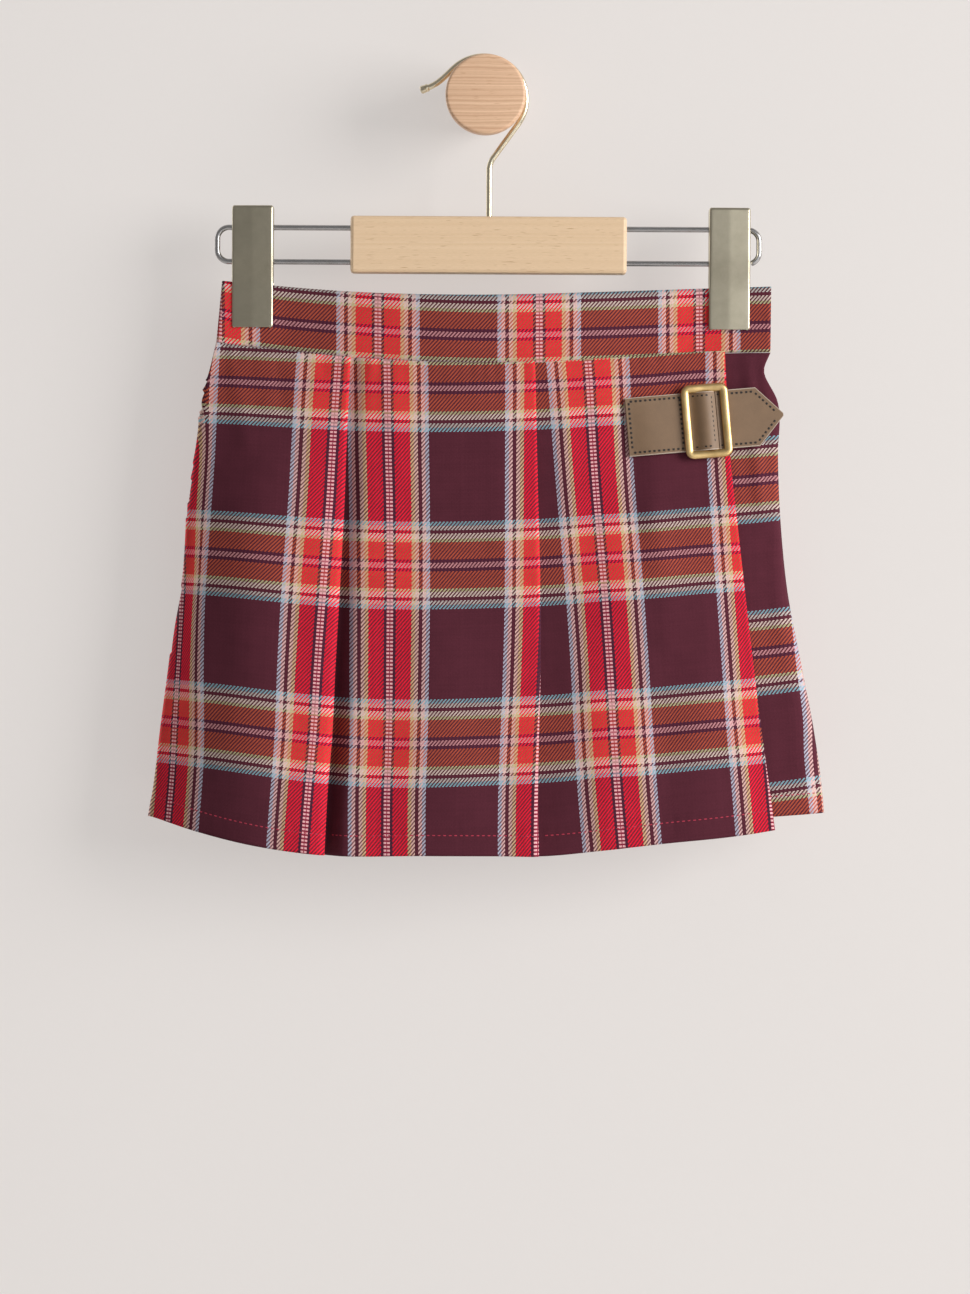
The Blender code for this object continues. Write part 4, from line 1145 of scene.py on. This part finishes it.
def tilted(x, y, z):
    """Turn the hanger's own points a little clockwise about the peg."""
    x = np.asarray(x, dtype=float)
    z = np.asarray(z, dtype=float)
    turned_x = x * math.cos(HANGER_TILT) + z * math.sin(HANGER_TILT)
    turned_z = z * math.cos(HANGER_TILT) - x * math.sin(HANGER_TILT)
    return np.stack([turned_x, y + 0.0 * turned_x, turned_z], axis=-1)


def arc(centre_x, centre_z, radius, start, end, count):
    turned = np.radians(np.linspace(start, end, count + 1))
    return np.stack([centre_x + radius * np.cos(turned), centre_z + radius * np.sin(turned)], axis=1)


def bend(start, start_pull, end_pull, end, count):
    """Cubic bend from start to end, pulled towards two handles."""
    share = np.linspace(0.0, 1.0, count + 1)[1:, None]
    rest = 1.0 - share
    points = [np.array(p) for p in (start, start_pull, end_pull, end)]
    return (rest ** 3 * points[0] + 3 * rest * rest * share * points[1]
            + 3 * rest * share * share * points[2] + share ** 3 * points[3])


# Ferrule on the hook's tip: how far forward of the tip, and its radius there.
FERRULE = [
    (-0.5, 1.5), (-0.45, 1.85), (-0.1, 2.0), (0.9, 2.0), (1.05, 1.78), (1.2, 1.78), (1.35, 2.05), (2.9, 2.1),
    (3.5, 1.9), (3.85, 1.4), (4.0, 0.3),
]


def make_hook(finish):
    """Stem, elbow and loop over the peg, with a small ferrule pressed on the tip."""
    loop = arc(LOOP_CENTRE_X, LOOP_CENTRE_Z, LOOP_RADIUS, LOOP_START, LOOP_END, 90)
    stem = np.linspace((STEM_X, BAR_TOP - STEM_DEPTH), (STEM_X, ELBOW_Z - ELBOW_REACH), 8)
    elbow = np.array((STEM_X, ELBOW_Z))
    slope = (loop[0] - elbow) / np.linalg.norm(loop[0] - elbow)
    out = elbow + slope * ELBOW_REACH
    lower = bend(stem[-1], mix(stem[-1], elbow, 0.6), mix(out, elbow, 0.6), out, 14)
    lower = np.vstack([lower, np.linspace(out, loop[0], 10)[1:]])
    tip = bend(loop[-1], *TIP_BEND, 24)
    along = (tip[-1] - tip[-2]) / np.linalg.norm(tip[-1] - tip[-2])
    ferrule = [tip[-1] + along * forward for forward, _ in FERRULE]
    path = np.vstack([stem, lower, loop[1:], tip[:-1], ferrule])
    radii = [WIRE / 2] * (len(path) - len(FERRULE)) + [radius for _, radius in FERRULE]
    return sweep("hook_wire", tilted(path[:, 0], HANG_Y, path[:, 1]), radii, (0, 1, 0), 28, finish)


def make_rails(finish):
    """One wire bent into both rails, from its free end under the right corner round to the left."""
    right_x = RAIL_RIGHT_X - RAIL_CORNER
    left_x = RAIL_LEFT_X + RAIL_CORNER
    upper = RAIL_UPPER_Z - RAIL_CORNER
    lower = RAIL_LOWER_Z + RAIL_CORNER
    parts = [
        arc(right_x, lower, RAIL_CORNER, RAIL_END_TURN, 0.0, 14),
        arc(right_x, upper, RAIL_CORNER, 0.0, 90.0, 16),
        arc(left_x, upper, RAIL_CORNER, 90.0, 180.0, 16), arc(left_x, lower, RAIL_CORNER, 180.0, 270.0, 16),
        np.array([(RAIL_INNER_END_X, RAIL_LOWER_Z)]),
    ]
    path = np.vstack(parts)
    radii = [RAIL_WIRE / 2] * len(path)
    radii[0] -= RAIL_END_TAPER
    return sweep("rail_rod", tilted(path[:, 0], HANG_Y, path[:, 1]), radii, (0, 1, 0), 24, finish)


def make_spring(name, centre_x, finish):
    turn = np.linspace(0.0, 2.0 * math.pi * SPRING_TURNS, SPRING_TURNS * 20 + 1)
    middle = (RAIL_UPPER_Z + RAIL_LOWER_Z) / 2
    x = centre_x + SPRING_LONG * (turn / turn[-1] - 0.5)
    path = tilted(x, HANG_Y + SPRING_RADIUS * np.cos(turn), middle + SPRING_RADIUS * np.sin(turn))
    aside = np.stack([0.0 * turn, np.cos(turn), np.sin(turn)], axis=1)
    return sweep(name, path, [SPRING_WIRE / 2] * len(turn), aside, 10, finish)


def clip_station(below):
    """Half width, face and cheek distance of a clip plate, below its top."""
    half = CLIP_WIDE / 2
    jaw_inner = HALF_GAP + BAND + GAP
    jaw_face = jaw_inner + CLIP_SHEET / 2
    taper = float(smoothstep((below / CLIP_TALL - CLIP_TAPER_START) / CLIP_TAPER_SHARE))
    face = mix(CLIP_FACE - CLIP_SHEET / 2, jaw_face, taper)
    if below < CLIP_CORNER:
        turned = math.acos(1.0 - below / CLIP_CORNER)
        rounded = CLIP_CORNER * (1.0 - math.sin(turned))
        half -= rounded
        face -= CLIP_CORNER_BACK * rounded
    foot = (below - CLIP_TALL) / CLIP_FOOT + 1.0
    if foot > 0.0:
        half -= CLIP_FOOT * (1.0 - math.sqrt(max(0.0, 1.0 - foot * foot)))
    grip = float(smoothstep((below - CLIP_GRIP_START) / CLIP_GRIP_REACH))
    cheek = mix(RAIL_WIRE / 2 + GAP, jaw_inner, grip)
    return half, face, min(cheek, face - CLIP_CHEEK_LEAST)


def make_clip(name, centre_x, direction, finish):
    """Pressed plate with rounded side bends and its cheeks turned in against the rails."""
    # Stations below its top, closer together over the rounded corners and the foot.
    stations = [0.04, 0.2, 0.5, 0.9, 1.4, 2.0, 2.4] + [2.4 + 1.2 * i for i in range(1, 47)]
    stations += [CLIP_TALL - 1.2, CLIP_TALL - 0.9, CLIP_TALL - 0.6, CLIP_TALL - 0.3, CLIP_TALL]
    points = []
    for below in stations:
        half, face, cheek = clip_station(below)
        radius = min(CLIP_BEND, face - cheek)
        turned = np.radians(np.linspace(0.0, 90.0, 9))
        out = half - CLIP_SHEET / 2 - radius + radius * np.cos(turned)
        rise_of = face - radius + radius * np.sin(turned)
        flank = [(half - CLIP_SHEET / 2, mix(cheek, face - radius, i / 3)) for i in range(3)]
        side = flank + list(zip(out, rise_of))
        inner = [(out[-1] * (1.0 - i / 8), face + CLIP_CROWN * (i / 8)) for i in range(1, 8)]
        whole = [(-x, y) for x, y in side + inner] + [(0.0, face + CLIP_CROWN)] + (side + inner)[::-1]
        x = np.array([p[0] for p in whole])
        y = HANG_Y + direction * np.array([p[1] for p in whole]) + math.copysign(CLIP_SKEW, centre_x) * x
        x = x + centre_x
        points.append(tilted(x, y, 0.0 * x + CLIP_TOP_Z - below))
    grid = np.array(points)
    made = cloth(name, grid, grid[:, :, (0, 2)], (0, direction, 0), 0.0, finish)
    made.modifiers["thickness"].thickness = CLIP_SHEET * MM
    return ease(made, CLIP_EASED, 2)


PEG_REACH = 50.0
PEG_CAP = 20.0
PEG_NECK = 17.9
PEG_FOOT = 15.0
PEG_ROUND = 1.6


def make_peg(finish):
    """Turned wooden knob: flat foot on the wall, neck that carries the hook, eased cap."""
    profile = [(0.0, 0.0), (PEG_FOOT, 0.0), (PEG_FOOT + 0.4, 4.0), (PEG_FOOT + 1.6, 18.0)]
    profile += [(PEG_NECK, 27.0), (PEG_NECK, 36.0), (PEG_NECK + 0.9, 37.4), (PEG_CAP - 0.5, 38.4)]
    profile += [(PEG_CAP, 40.0), (PEG_CAP, PEG_REACH - PEG_ROUND)]
    for step in range(1, 9):
        turned = math.radians(90.0 * step / 8)
        out = PEG_CAP - PEG_ROUND * (1.0 - math.cos(turned))
        profile.append((out, PEG_REACH - PEG_ROUND * (1.0 - math.sin(turned))))
    profile.append((0.0, PEG_REACH))
    shell = bmesh.new()
    line = [shell.verts.new((radius * MM, -out * MM, 0.0)) for radius, out in profile]
    edges = [shell.edges.new(pair) for pair in zip(line, line[1:])]
    bmesh.ops.spin(
        shell, geom=line + edges, cent=(0, 0, 0), axis=(0, 1, 0), angle=2.0 * math.pi, steps=96,
        use_merge=True)
    bmesh.ops.remove_doubles(shell, verts=shell.verts, dist=0.01 * MM)
    return add_mesh("peg_knob", shell, finish)


def ring_path(half_wide, half_tall, corner, steps):
    """Rounded rectangle in the plane of the buckle, with points along its straight sides."""
    points = []
    for turn, (side, level) in enumerate(((1, 1), (-1, 1), (-1, -1), (1, -1))):
        for step in range(steps + 1):
            angle = math.radians(90.0 * turn + 90.0 * step / steps)
            wide = side * (half_wide - corner) + corner * math.cos(angle)
            tall = level * (half_tall - corner) + corner * math.sin(angle)
            points.append((wide, tall))
    dense = []
    for first, second in zip(points, points[1:] + points[:1]):
        length = math.dist(first, second)
        count = max(1, int(length / 1.2))
        dense += [tuple(mix(np.array(first), np.array(second), i / count)) for i in range(count)]
    return dense


# Section of the buckle's bar: outward and upward, as shares of its half width and half thickness.
BUCKLE_SECTION = [
    (1.0, -0.75), (1.0, 0.1), (0.9, 0.5), (0.66, 0.86), (0.36, 1.0), (-0.1, 1.0), (-0.42, 0.9), (-0.74, 0.5),
    (-0.97, -0.05), (-1.0, -0.6), (-0.8, -1.0), (0.8, -1.0),
]


def make_buckle(finish):
    shell = bmesh.new()
    lift = STRAP_LIFT + STRAP_THICK + GAP + BUCKLE_BAR_THICK / 2
    middle = BUCKLE_BAR_WIDE / 2
    path = ring_path(BUCKLE_HALF_WIDE - middle, BUCKLE_HALF_TALL - middle, BUCKLE_CORNER - 1.1, 8)
    rings = []
    for index, place in enumerate(path):
        before = Vector(path[index - 1])
        after = Vector(path[(index + 1) % len(path)])
        outward = Vector(((after - before).y, -(after - before).x)).normalized()
        ring = []
        for out_share, up_share in BUCKLE_SECTION:
            along = place[0] + outward.x * out_share * middle
            over = place[1] + outward.y * out_share * middle
            x, z = strap_place(along, over)
            y = float(apron_face(x, z)) - lift - up_share * BUCKLE_BAR_THICK / 2
            ring.append(shell.verts.new((x * MM, y * MM, z * MM)))
        rings.append(ring)
    join_rings(shell, rings, True)
    made = add_mesh("buckle_ring", shell, finish, 60.0)
    soft = made.modifiers.new("worn edges", "BEVEL")
    soft.width = 0.12 * MM
    soft.segments = 2
    return made


def make_pin(finish):
    lift = STRAP_LIFT + STRAP_ARCH - GAP - BUCKLE_PIN / 2
    reach = BUCKLE_HALF_TALL - BUCKLE_BAR_WIDE - GAP
    tall = np.linspace(-reach, reach, 25)
    x, z = strap_place(0.0 * tall, tall)
    path = np.stack([x, apron_face(x, z) - lift, z], axis=1)
    return sweep("buckle_bar", path, [BUCKLE_PIN / 2] * len(path), (1, 0, 0), 16, finish)


# Length, spacing, width and height of a stitch.
Stitch = namedtuple("Stitch", "length space width proud")
HEM_STITCH = Stitch(1.9, 2.75, 0.6, 0.34)
STRAP_STITCH = Stitch(1.65, 2.4, 1.25, 0.5)

# Stations along a stitch as shares of its length, with the shares of its width and height there.
STITCH_PLACES = np.array([-0.5, -0.3, 0.3, 0.5])
STITCH_WIDTHS = (0.45, 1.0, 1.0, 0.45)
STITCH_HEIGHTS = (-0.2, 1.0, 1.0, -0.2)

# Section of a stitch: sideways and outward shares.
STITCH_SECTION = [(-1, -1), (1, -1), (0.85, 0.4), (0.35, 1.0), (-0.35, 1.0), (-0.85, 0.4)]

# How far the strap's stitches stay inside its edges, back from its shoulder and back from its point.
STITCH_INSET = 1.9
SHOULDER_BACK = 0.6
POINT_BACK = 3.4


def dashes(name, paths, finish, stitch):
    """Sewn stitches as small pads, along paths of (point, direction out of the cloth)."""
    length, space, width, proud = stitch
    shell = bmesh.new()
    for points, outs in paths:
        steps = np.linalg.norm(np.diff(points, axis=0), axis=1)
        reach = np.concatenate([[0.0], np.cumsum(steps)])
        at = space / 2
        number = 0
        while at < reach[-1] - space / 2:
            shift = 0.12 * math.sin(number * 2.4)
            stations = at + length * (STITCH_PLACES + shift * 0.2)
            spot = np.stack([np.interp(stations, reach, points[:, i]) for i in range(3)], axis=1)
            out = np.array([np.interp(at, reach, outs[:, i]) for i in range(3)])
            out /= np.linalg.norm(out)
            along = spot[-1] - spot[0]
            along /= np.linalg.norm(along)
            aside = np.cross(along, out)
            rings = []
            for place, wide, high in zip(spot, STITCH_WIDTHS, STITCH_HEIGHTS):
                ring = []
                for side_share, out_share in STITCH_SECTION:
                    lift = proud * (0.5 * high * (out_share + 1.0) - 0.6)
                    ring.append(shell.verts.new(
                        (place + aside * side_share * wide * width / 2 + out * lift) * MM))
                rings.append(ring)
            join_rings(shell, rings, False)
            at += space
            number += 1
    return add_mesh(name, shell, finish)


def face_path(points, outward, offset):
    """A line on a cloth's outer face and the directions out of it."""
    outs = np.broadcast_to(np.array(outward, dtype=float), points.shape)
    return points + outs * offset, outs


def make_strap_stitches(name, start, end, rows, finish):
    """Stitches inside the strap's edges, and across it in each of the rows."""
    edge = STRAP_HALF - STITCH_INSET
    corner = STRAP_SHOULDER - SHOULDER_BACK
    along = np.linspace(start, min(end, corner), 60)
    lines_sewn = [strap_surface(along, side * edge + 0.0 * along) for side in (-1.0, 1.0)]
    if end > STRAP_SHOULDER:
        along = np.linspace(corner, STRAP_POINT - POINT_BACK, 30)
        reach = strap_half(along + 1.4) - STITCH_INSET * 0.75
        lines_sewn += [strap_surface(along, side * reach) for side in (-1.0, 1.0)]
    over = np.linspace(edge, -edge, 40)
    lines_sewn += [strap_surface(place + 0.0 * over, over) for place in rows]
    paths = [face_path(points, (0, -1, 0), STRAP_THICK) for points in lines_sewn]
    return dashes(name, paths, finish, STRAP_STITCH)


def stitch_line(name, columns, from_hem, offset, outward):
    """Line across a cloth's grid, from_hem above its lower edge, and the directions out of it."""
    grid = GRIDS[name][:, columns]
    tall = grid[0, :, 2] - grid[-1, :, 2]
    row = (len(grid) - 1) * (1.0 - from_hem / tall)
    whole = np.floor(row).astype(int)
    part = (row - whole)[:, None]
    number = np.arange(grid.shape[1])
    points = mix(grid[whole, number], grid[whole + 1, number], part)
    down = grid[whole + 1, number] - grid[whole, number]
    outs = np.cross(np.gradient(points, axis=0), down)
    outs /= np.linalg.norm(outs, axis=1, keepdims=True)
    outs *= np.sign(np.sum(outs * np.array(outward), axis=1, keepdims=True))
    return points + outs * offset, outs


def make_hem_stitches(finish):
    """Machine stitches that hold the turned hems of the apron and of the legs."""
    starts = {}
    at = 0
    for stretch, count in STRETCHES:
        starts[stretch] = at
        at += count
    shown = [
        slice(0, starts["over one"] + 6), slice(starts["middle"] + 2, starts["over two"] + 5),
        slice(starts["free"] + 2, at),
    ]
    paths = [stitch_line("apron_cloth", columns, HEM_TURN, THIN_SHELL / 2, (0, -1, 0)) for columns in shown]
    made = [(dashes("apron_hem_stitches", paths, finish, HEM_STITCH), "apron_cloth")]
    for word, side in (("front", -1.0), ("back", 1.0)):
        for name in ("left", "right"):
            panel = word + "_" + name
            piece = "shorts_" + panel + "_cloth"
            path = stitch_line(piece, slice(2, -2), HEM_TURN, THIN_SHELL, (0, side, 0))
            made.append((dashes("hem_stitches_" + panel, [path], finish, HEM_STITCH), piece))
    return made


# Room, in metres: paints, glow of the wall, lights that face the garment and the camera.
WALL_PAINT = (0.27, 0.258, 0.249)
FLOOR_PAINT = (0.66, 0.645, 0.63)
GLOW = (1.0, 0.952, 0.922)
WALL_GLOW = 0.492
WALL_HALF = 1.2
WALL_TOP = 1.1
FLOOR_Z = -1.3
FLOOR_HALF = 2.5
FLOOR_FRONT = -4.5
LIGHT_AIM = (0.0, 0.0, -0.25)
Light = namedtuple("Light", "name place size power colour")
LIGHTS = [
    Light("window", (3.0, -1.9, 0.45), 2.0, 162.0, (1.0, 0.98, 0.968)),
    Light("fill", (1.2, -3.0, 0.1), 1.6, 8.0, (0.97, 0.98, 1.0)),
    Light("behind", (-2.1, 1.7, 0.6), 1.4, 34.0, (1.0, 1.0, 1.0)),
]
SKY = (1.0, 0.98, 0.97)
SKY_STRENGTH = 0.27
CAMERA_PLACE = (-0.0003, -3.032, -0.2751)
CAMERA_LENS = 166.9


def add_light(light):
    """Square lamp that faces the garment."""
    lamp = bpy.data.lights.new(light.name, "AREA")
    lamp.shape = "RECTANGLE"
    lamp.size = light.size
    lamp.size_y = light.size
    lamp.energy = light.power
    lamp.color = light.colour
    made = bpy.data.objects.new(light.name, lamp)
    made.location = light.place
    made.rotation_mode = "QUATERNION"
    made.rotation_quaternion = (Vector(light.place) - Vector(LIGHT_AIM)).to_track_quat("Z", "Y")
    bpy.context.scene.collection.objects.link(made)


def plane(name, corners, finish):
    mesh = bpy.data.meshes.new(name)
    mesh.from_pydata(corners, [], [(0, 1, 2, 3)])
    made = bpy.data.objects.new(name, mesh)
    made.data.materials.append(finish)
    bpy.context.scene.collection.objects.link(made)
    return made


def make_room():
    """Pale wall and floor, soft daylight from the right and a weak light behind for views of the back."""
    wall_paint = make_paint("wall paint", WALL_PAINT, 0.4, WALL_GLOW, True)
    floor_paint = make_paint("floor paint", FLOOR_PAINT, 0.2, 0.0, False)
    wall = plane("wall", [
        (-WALL_HALF, 0, FLOOR_Z), (WALL_HALF, 0, FLOOR_Z), (WALL_HALF, 0, WALL_TOP),
        (-WALL_HALF, 0, WALL_TOP)], wall_paint)
    wall.visible_shadow = False
    plane("floor", [
        (-FLOOR_HALF, FLOOR_FRONT, FLOOR_Z), (FLOOR_HALF, FLOOR_FRONT, FLOOR_Z),
        (FLOOR_HALF, FLOOR_HALF, FLOOR_Z), (-FLOOR_HALF, FLOOR_HALF, FLOOR_Z)], floor_paint)
    for light in LIGHTS:
        add_light(light)
    world = bpy.data.worlds.new("soft light")
    world.use_nodes = True
    background = world.node_tree.nodes["Background"]
    background.inputs["Color"].default_value = (*SKY, 1.0)
    background.inputs["Strength"].default_value = SKY_STRENGTH
    bpy.context.scene.world = world
    bpy.context.scene.view_settings.view_transform = "Standard"


def make_camera():
    camera = bpy.data.cameras.new("camera")
    camera.lens = CAMERA_LENS
    holder = bpy.data.objects.new("camera", camera)
    holder.location = CAMERA_PLACE
    holder.rotation_euler = (math.pi / 2, 0.0, 0.0)
    bpy.context.scene.collection.objects.link(holder)
    bpy.context.scene.camera = holder


# Rows of stitches across the strap's fixed half.
STRAP_ROWS = (STRAP_START + STITCH_INSET, -12.6, 2.9)
STITCH_CLEAR = 1.0


def dress_cloth(tartan, red_thread):
    """The cloth pieces and their hems' stitches."""
    dressed = [(make_apron(tartan), "apron", "tartan")]
    for side, name in ((-1.0, "left"), (1.0, "right")):
        for back, word in ((False, "front"), (True, "back")):
            columns, rows = (150, 110) if back else (60, 90)
            node = "shorts_" + word + "_" + name
            panel = make_leg_panel(node + "_cloth", side, back, columns, rows, tartan)
            dressed.append((panel, node, "tartan"))
    for back, word, columns in ((False, "front", 180), (True, "back", 300)):
        node = "waistband_" + word
        dressed.append((make_band(node + "_cloth", back, columns, tartan), node, "tartan"))
    hems = make_hem_stitches(red_thread)
    for piece, _, _ in dressed:
        sewn_on = [stitches for stitches, on in hems if on == piece.name]
    return dressed, [(stitches, "tartan") for stitches, _ in hems]


def dress_strap(leather, brass, dark_thread):
    """Both halves of the strap with their stitches, and the slide buckle."""
    anchor = make_strap("strap_anchor_leather", STRAP_START, STRAP_SPLIT - HALF_GAP, 150, leather)
    tip = make_strap("strap_tip_leather", STRAP_SPLIT + HALF_GAP, STRAP_POINT, 120, leather)
    anchor_sewn = make_strap_stitches(
        "strap_anchor_stitches", STRAP_START + STITCH_INSET, STRAP_SPLIT - STITCH_CLEAR, STRAP_ROWS,
        dark_thread)
    tip_sewn = make_strap_stitches(
        "strap_tip_stitches", STRAP_SPLIT + STITCH_CLEAR, STRAP_POINT, (), dark_thread)
    dressed = [
        (anchor, "strap_anchor", "leather"), (tip, "strap_tip", "leather"),
        (make_buckle(brass), "buckle_frame", "antique_brass"),
        (make_pin(brass), "buckle_pin", "antique_brass"),
    ]
    return dressed, [(anchor_sewn, "leather"), (tip_sewn, "leather")]


def dress_hanger(gilt, steel, nickel, peg_wood):
    """Hook, rails, peg and both clips."""
    dressed = [
        (make_hook(gilt), "hook", "gilt_wire"), (make_rails(steel), "rail_wire", "steel_wire"),
        (make_peg(peg_wood), "peg", "peg_wood"),
    ]
    for word, centre in (("left", CLIP_LEFT_X), ("right", CLIP_RIGHT_X)):
        for face, direction in (("front", -1.0), ("back", 1.0)):
            node = "clip_" + word + "_" + face
            plate = make_clip(node + "_plate", centre, direction, nickel)
            dressed.append((plate, node, "satin_nickel"))
        node = "clip_" + word + "_spring"
        dressed.append((make_spring(node + "_coil", centre, steel), node, "steel_wire"))
    return dressed


def main():
    tartan = make_tartan("tartan twill")
    leather = make_leather("taupe leather", (0.200, 0.124, 0.070), (0.44, 0.36, 0.29), STRAP_HALF - 0.4)
    brass = make_metal("antique brass", (0.80, 0.58, 0.27), (0.50, 0.34, 0.14), 0.4, 3.0)
    nickel = make_metal("satin nickel", (0.49, 0.45, 0.345), (0.41, 0.375, 0.285), 0.36, 1.0, (6.0, 6.0, 0.4))
    steel = make_metal("bright steel", (0.50, 0.495, 0.50), (0.40, 0.385, 0.37), 0.24, 2.0)
    gilt = make_metal("pale gilt wire", (0.80, 0.73, 0.56), (0.66, 0.57, 0.40), 0.22, 2.0)
    beech = make_wood("beech", (0.73, 0.545, 0.36), (0.67, 0.48, 0.30), (0.42, 0.25, 0.13), 0.42, 1.5)
    peg_wood = make_wood("peg wood", (0.76, 0.52, 0.345), (0.52, 0.30, 0.18), (0.46, 0.25, 0.13), 0.8, 3.2)
    dark_thread = make_thread("dark thread", (0.014, 0.01, 0.008))
    red_thread = make_thread("red thread", (0.38, 0.02, 0.05))

    dressed, sewn = dress_cloth(tartan, red_thread)
    strap, strap_sewn = dress_strap(leather, brass, dark_thread)
    dressed += strap + dress_hanger(gilt, steel, nickel, peg_wood)
    for piece, node, slot in dressed:
        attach(piece, "root")
        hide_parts(node)
    for piece, slot in sewn + strap_sewn:
        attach(piece, "root")
    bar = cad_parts["hanger_bar"]
    bar.data.materials.clear()
    bar.data.materials.append(beech)

    make_room()
    make_camera()


main()
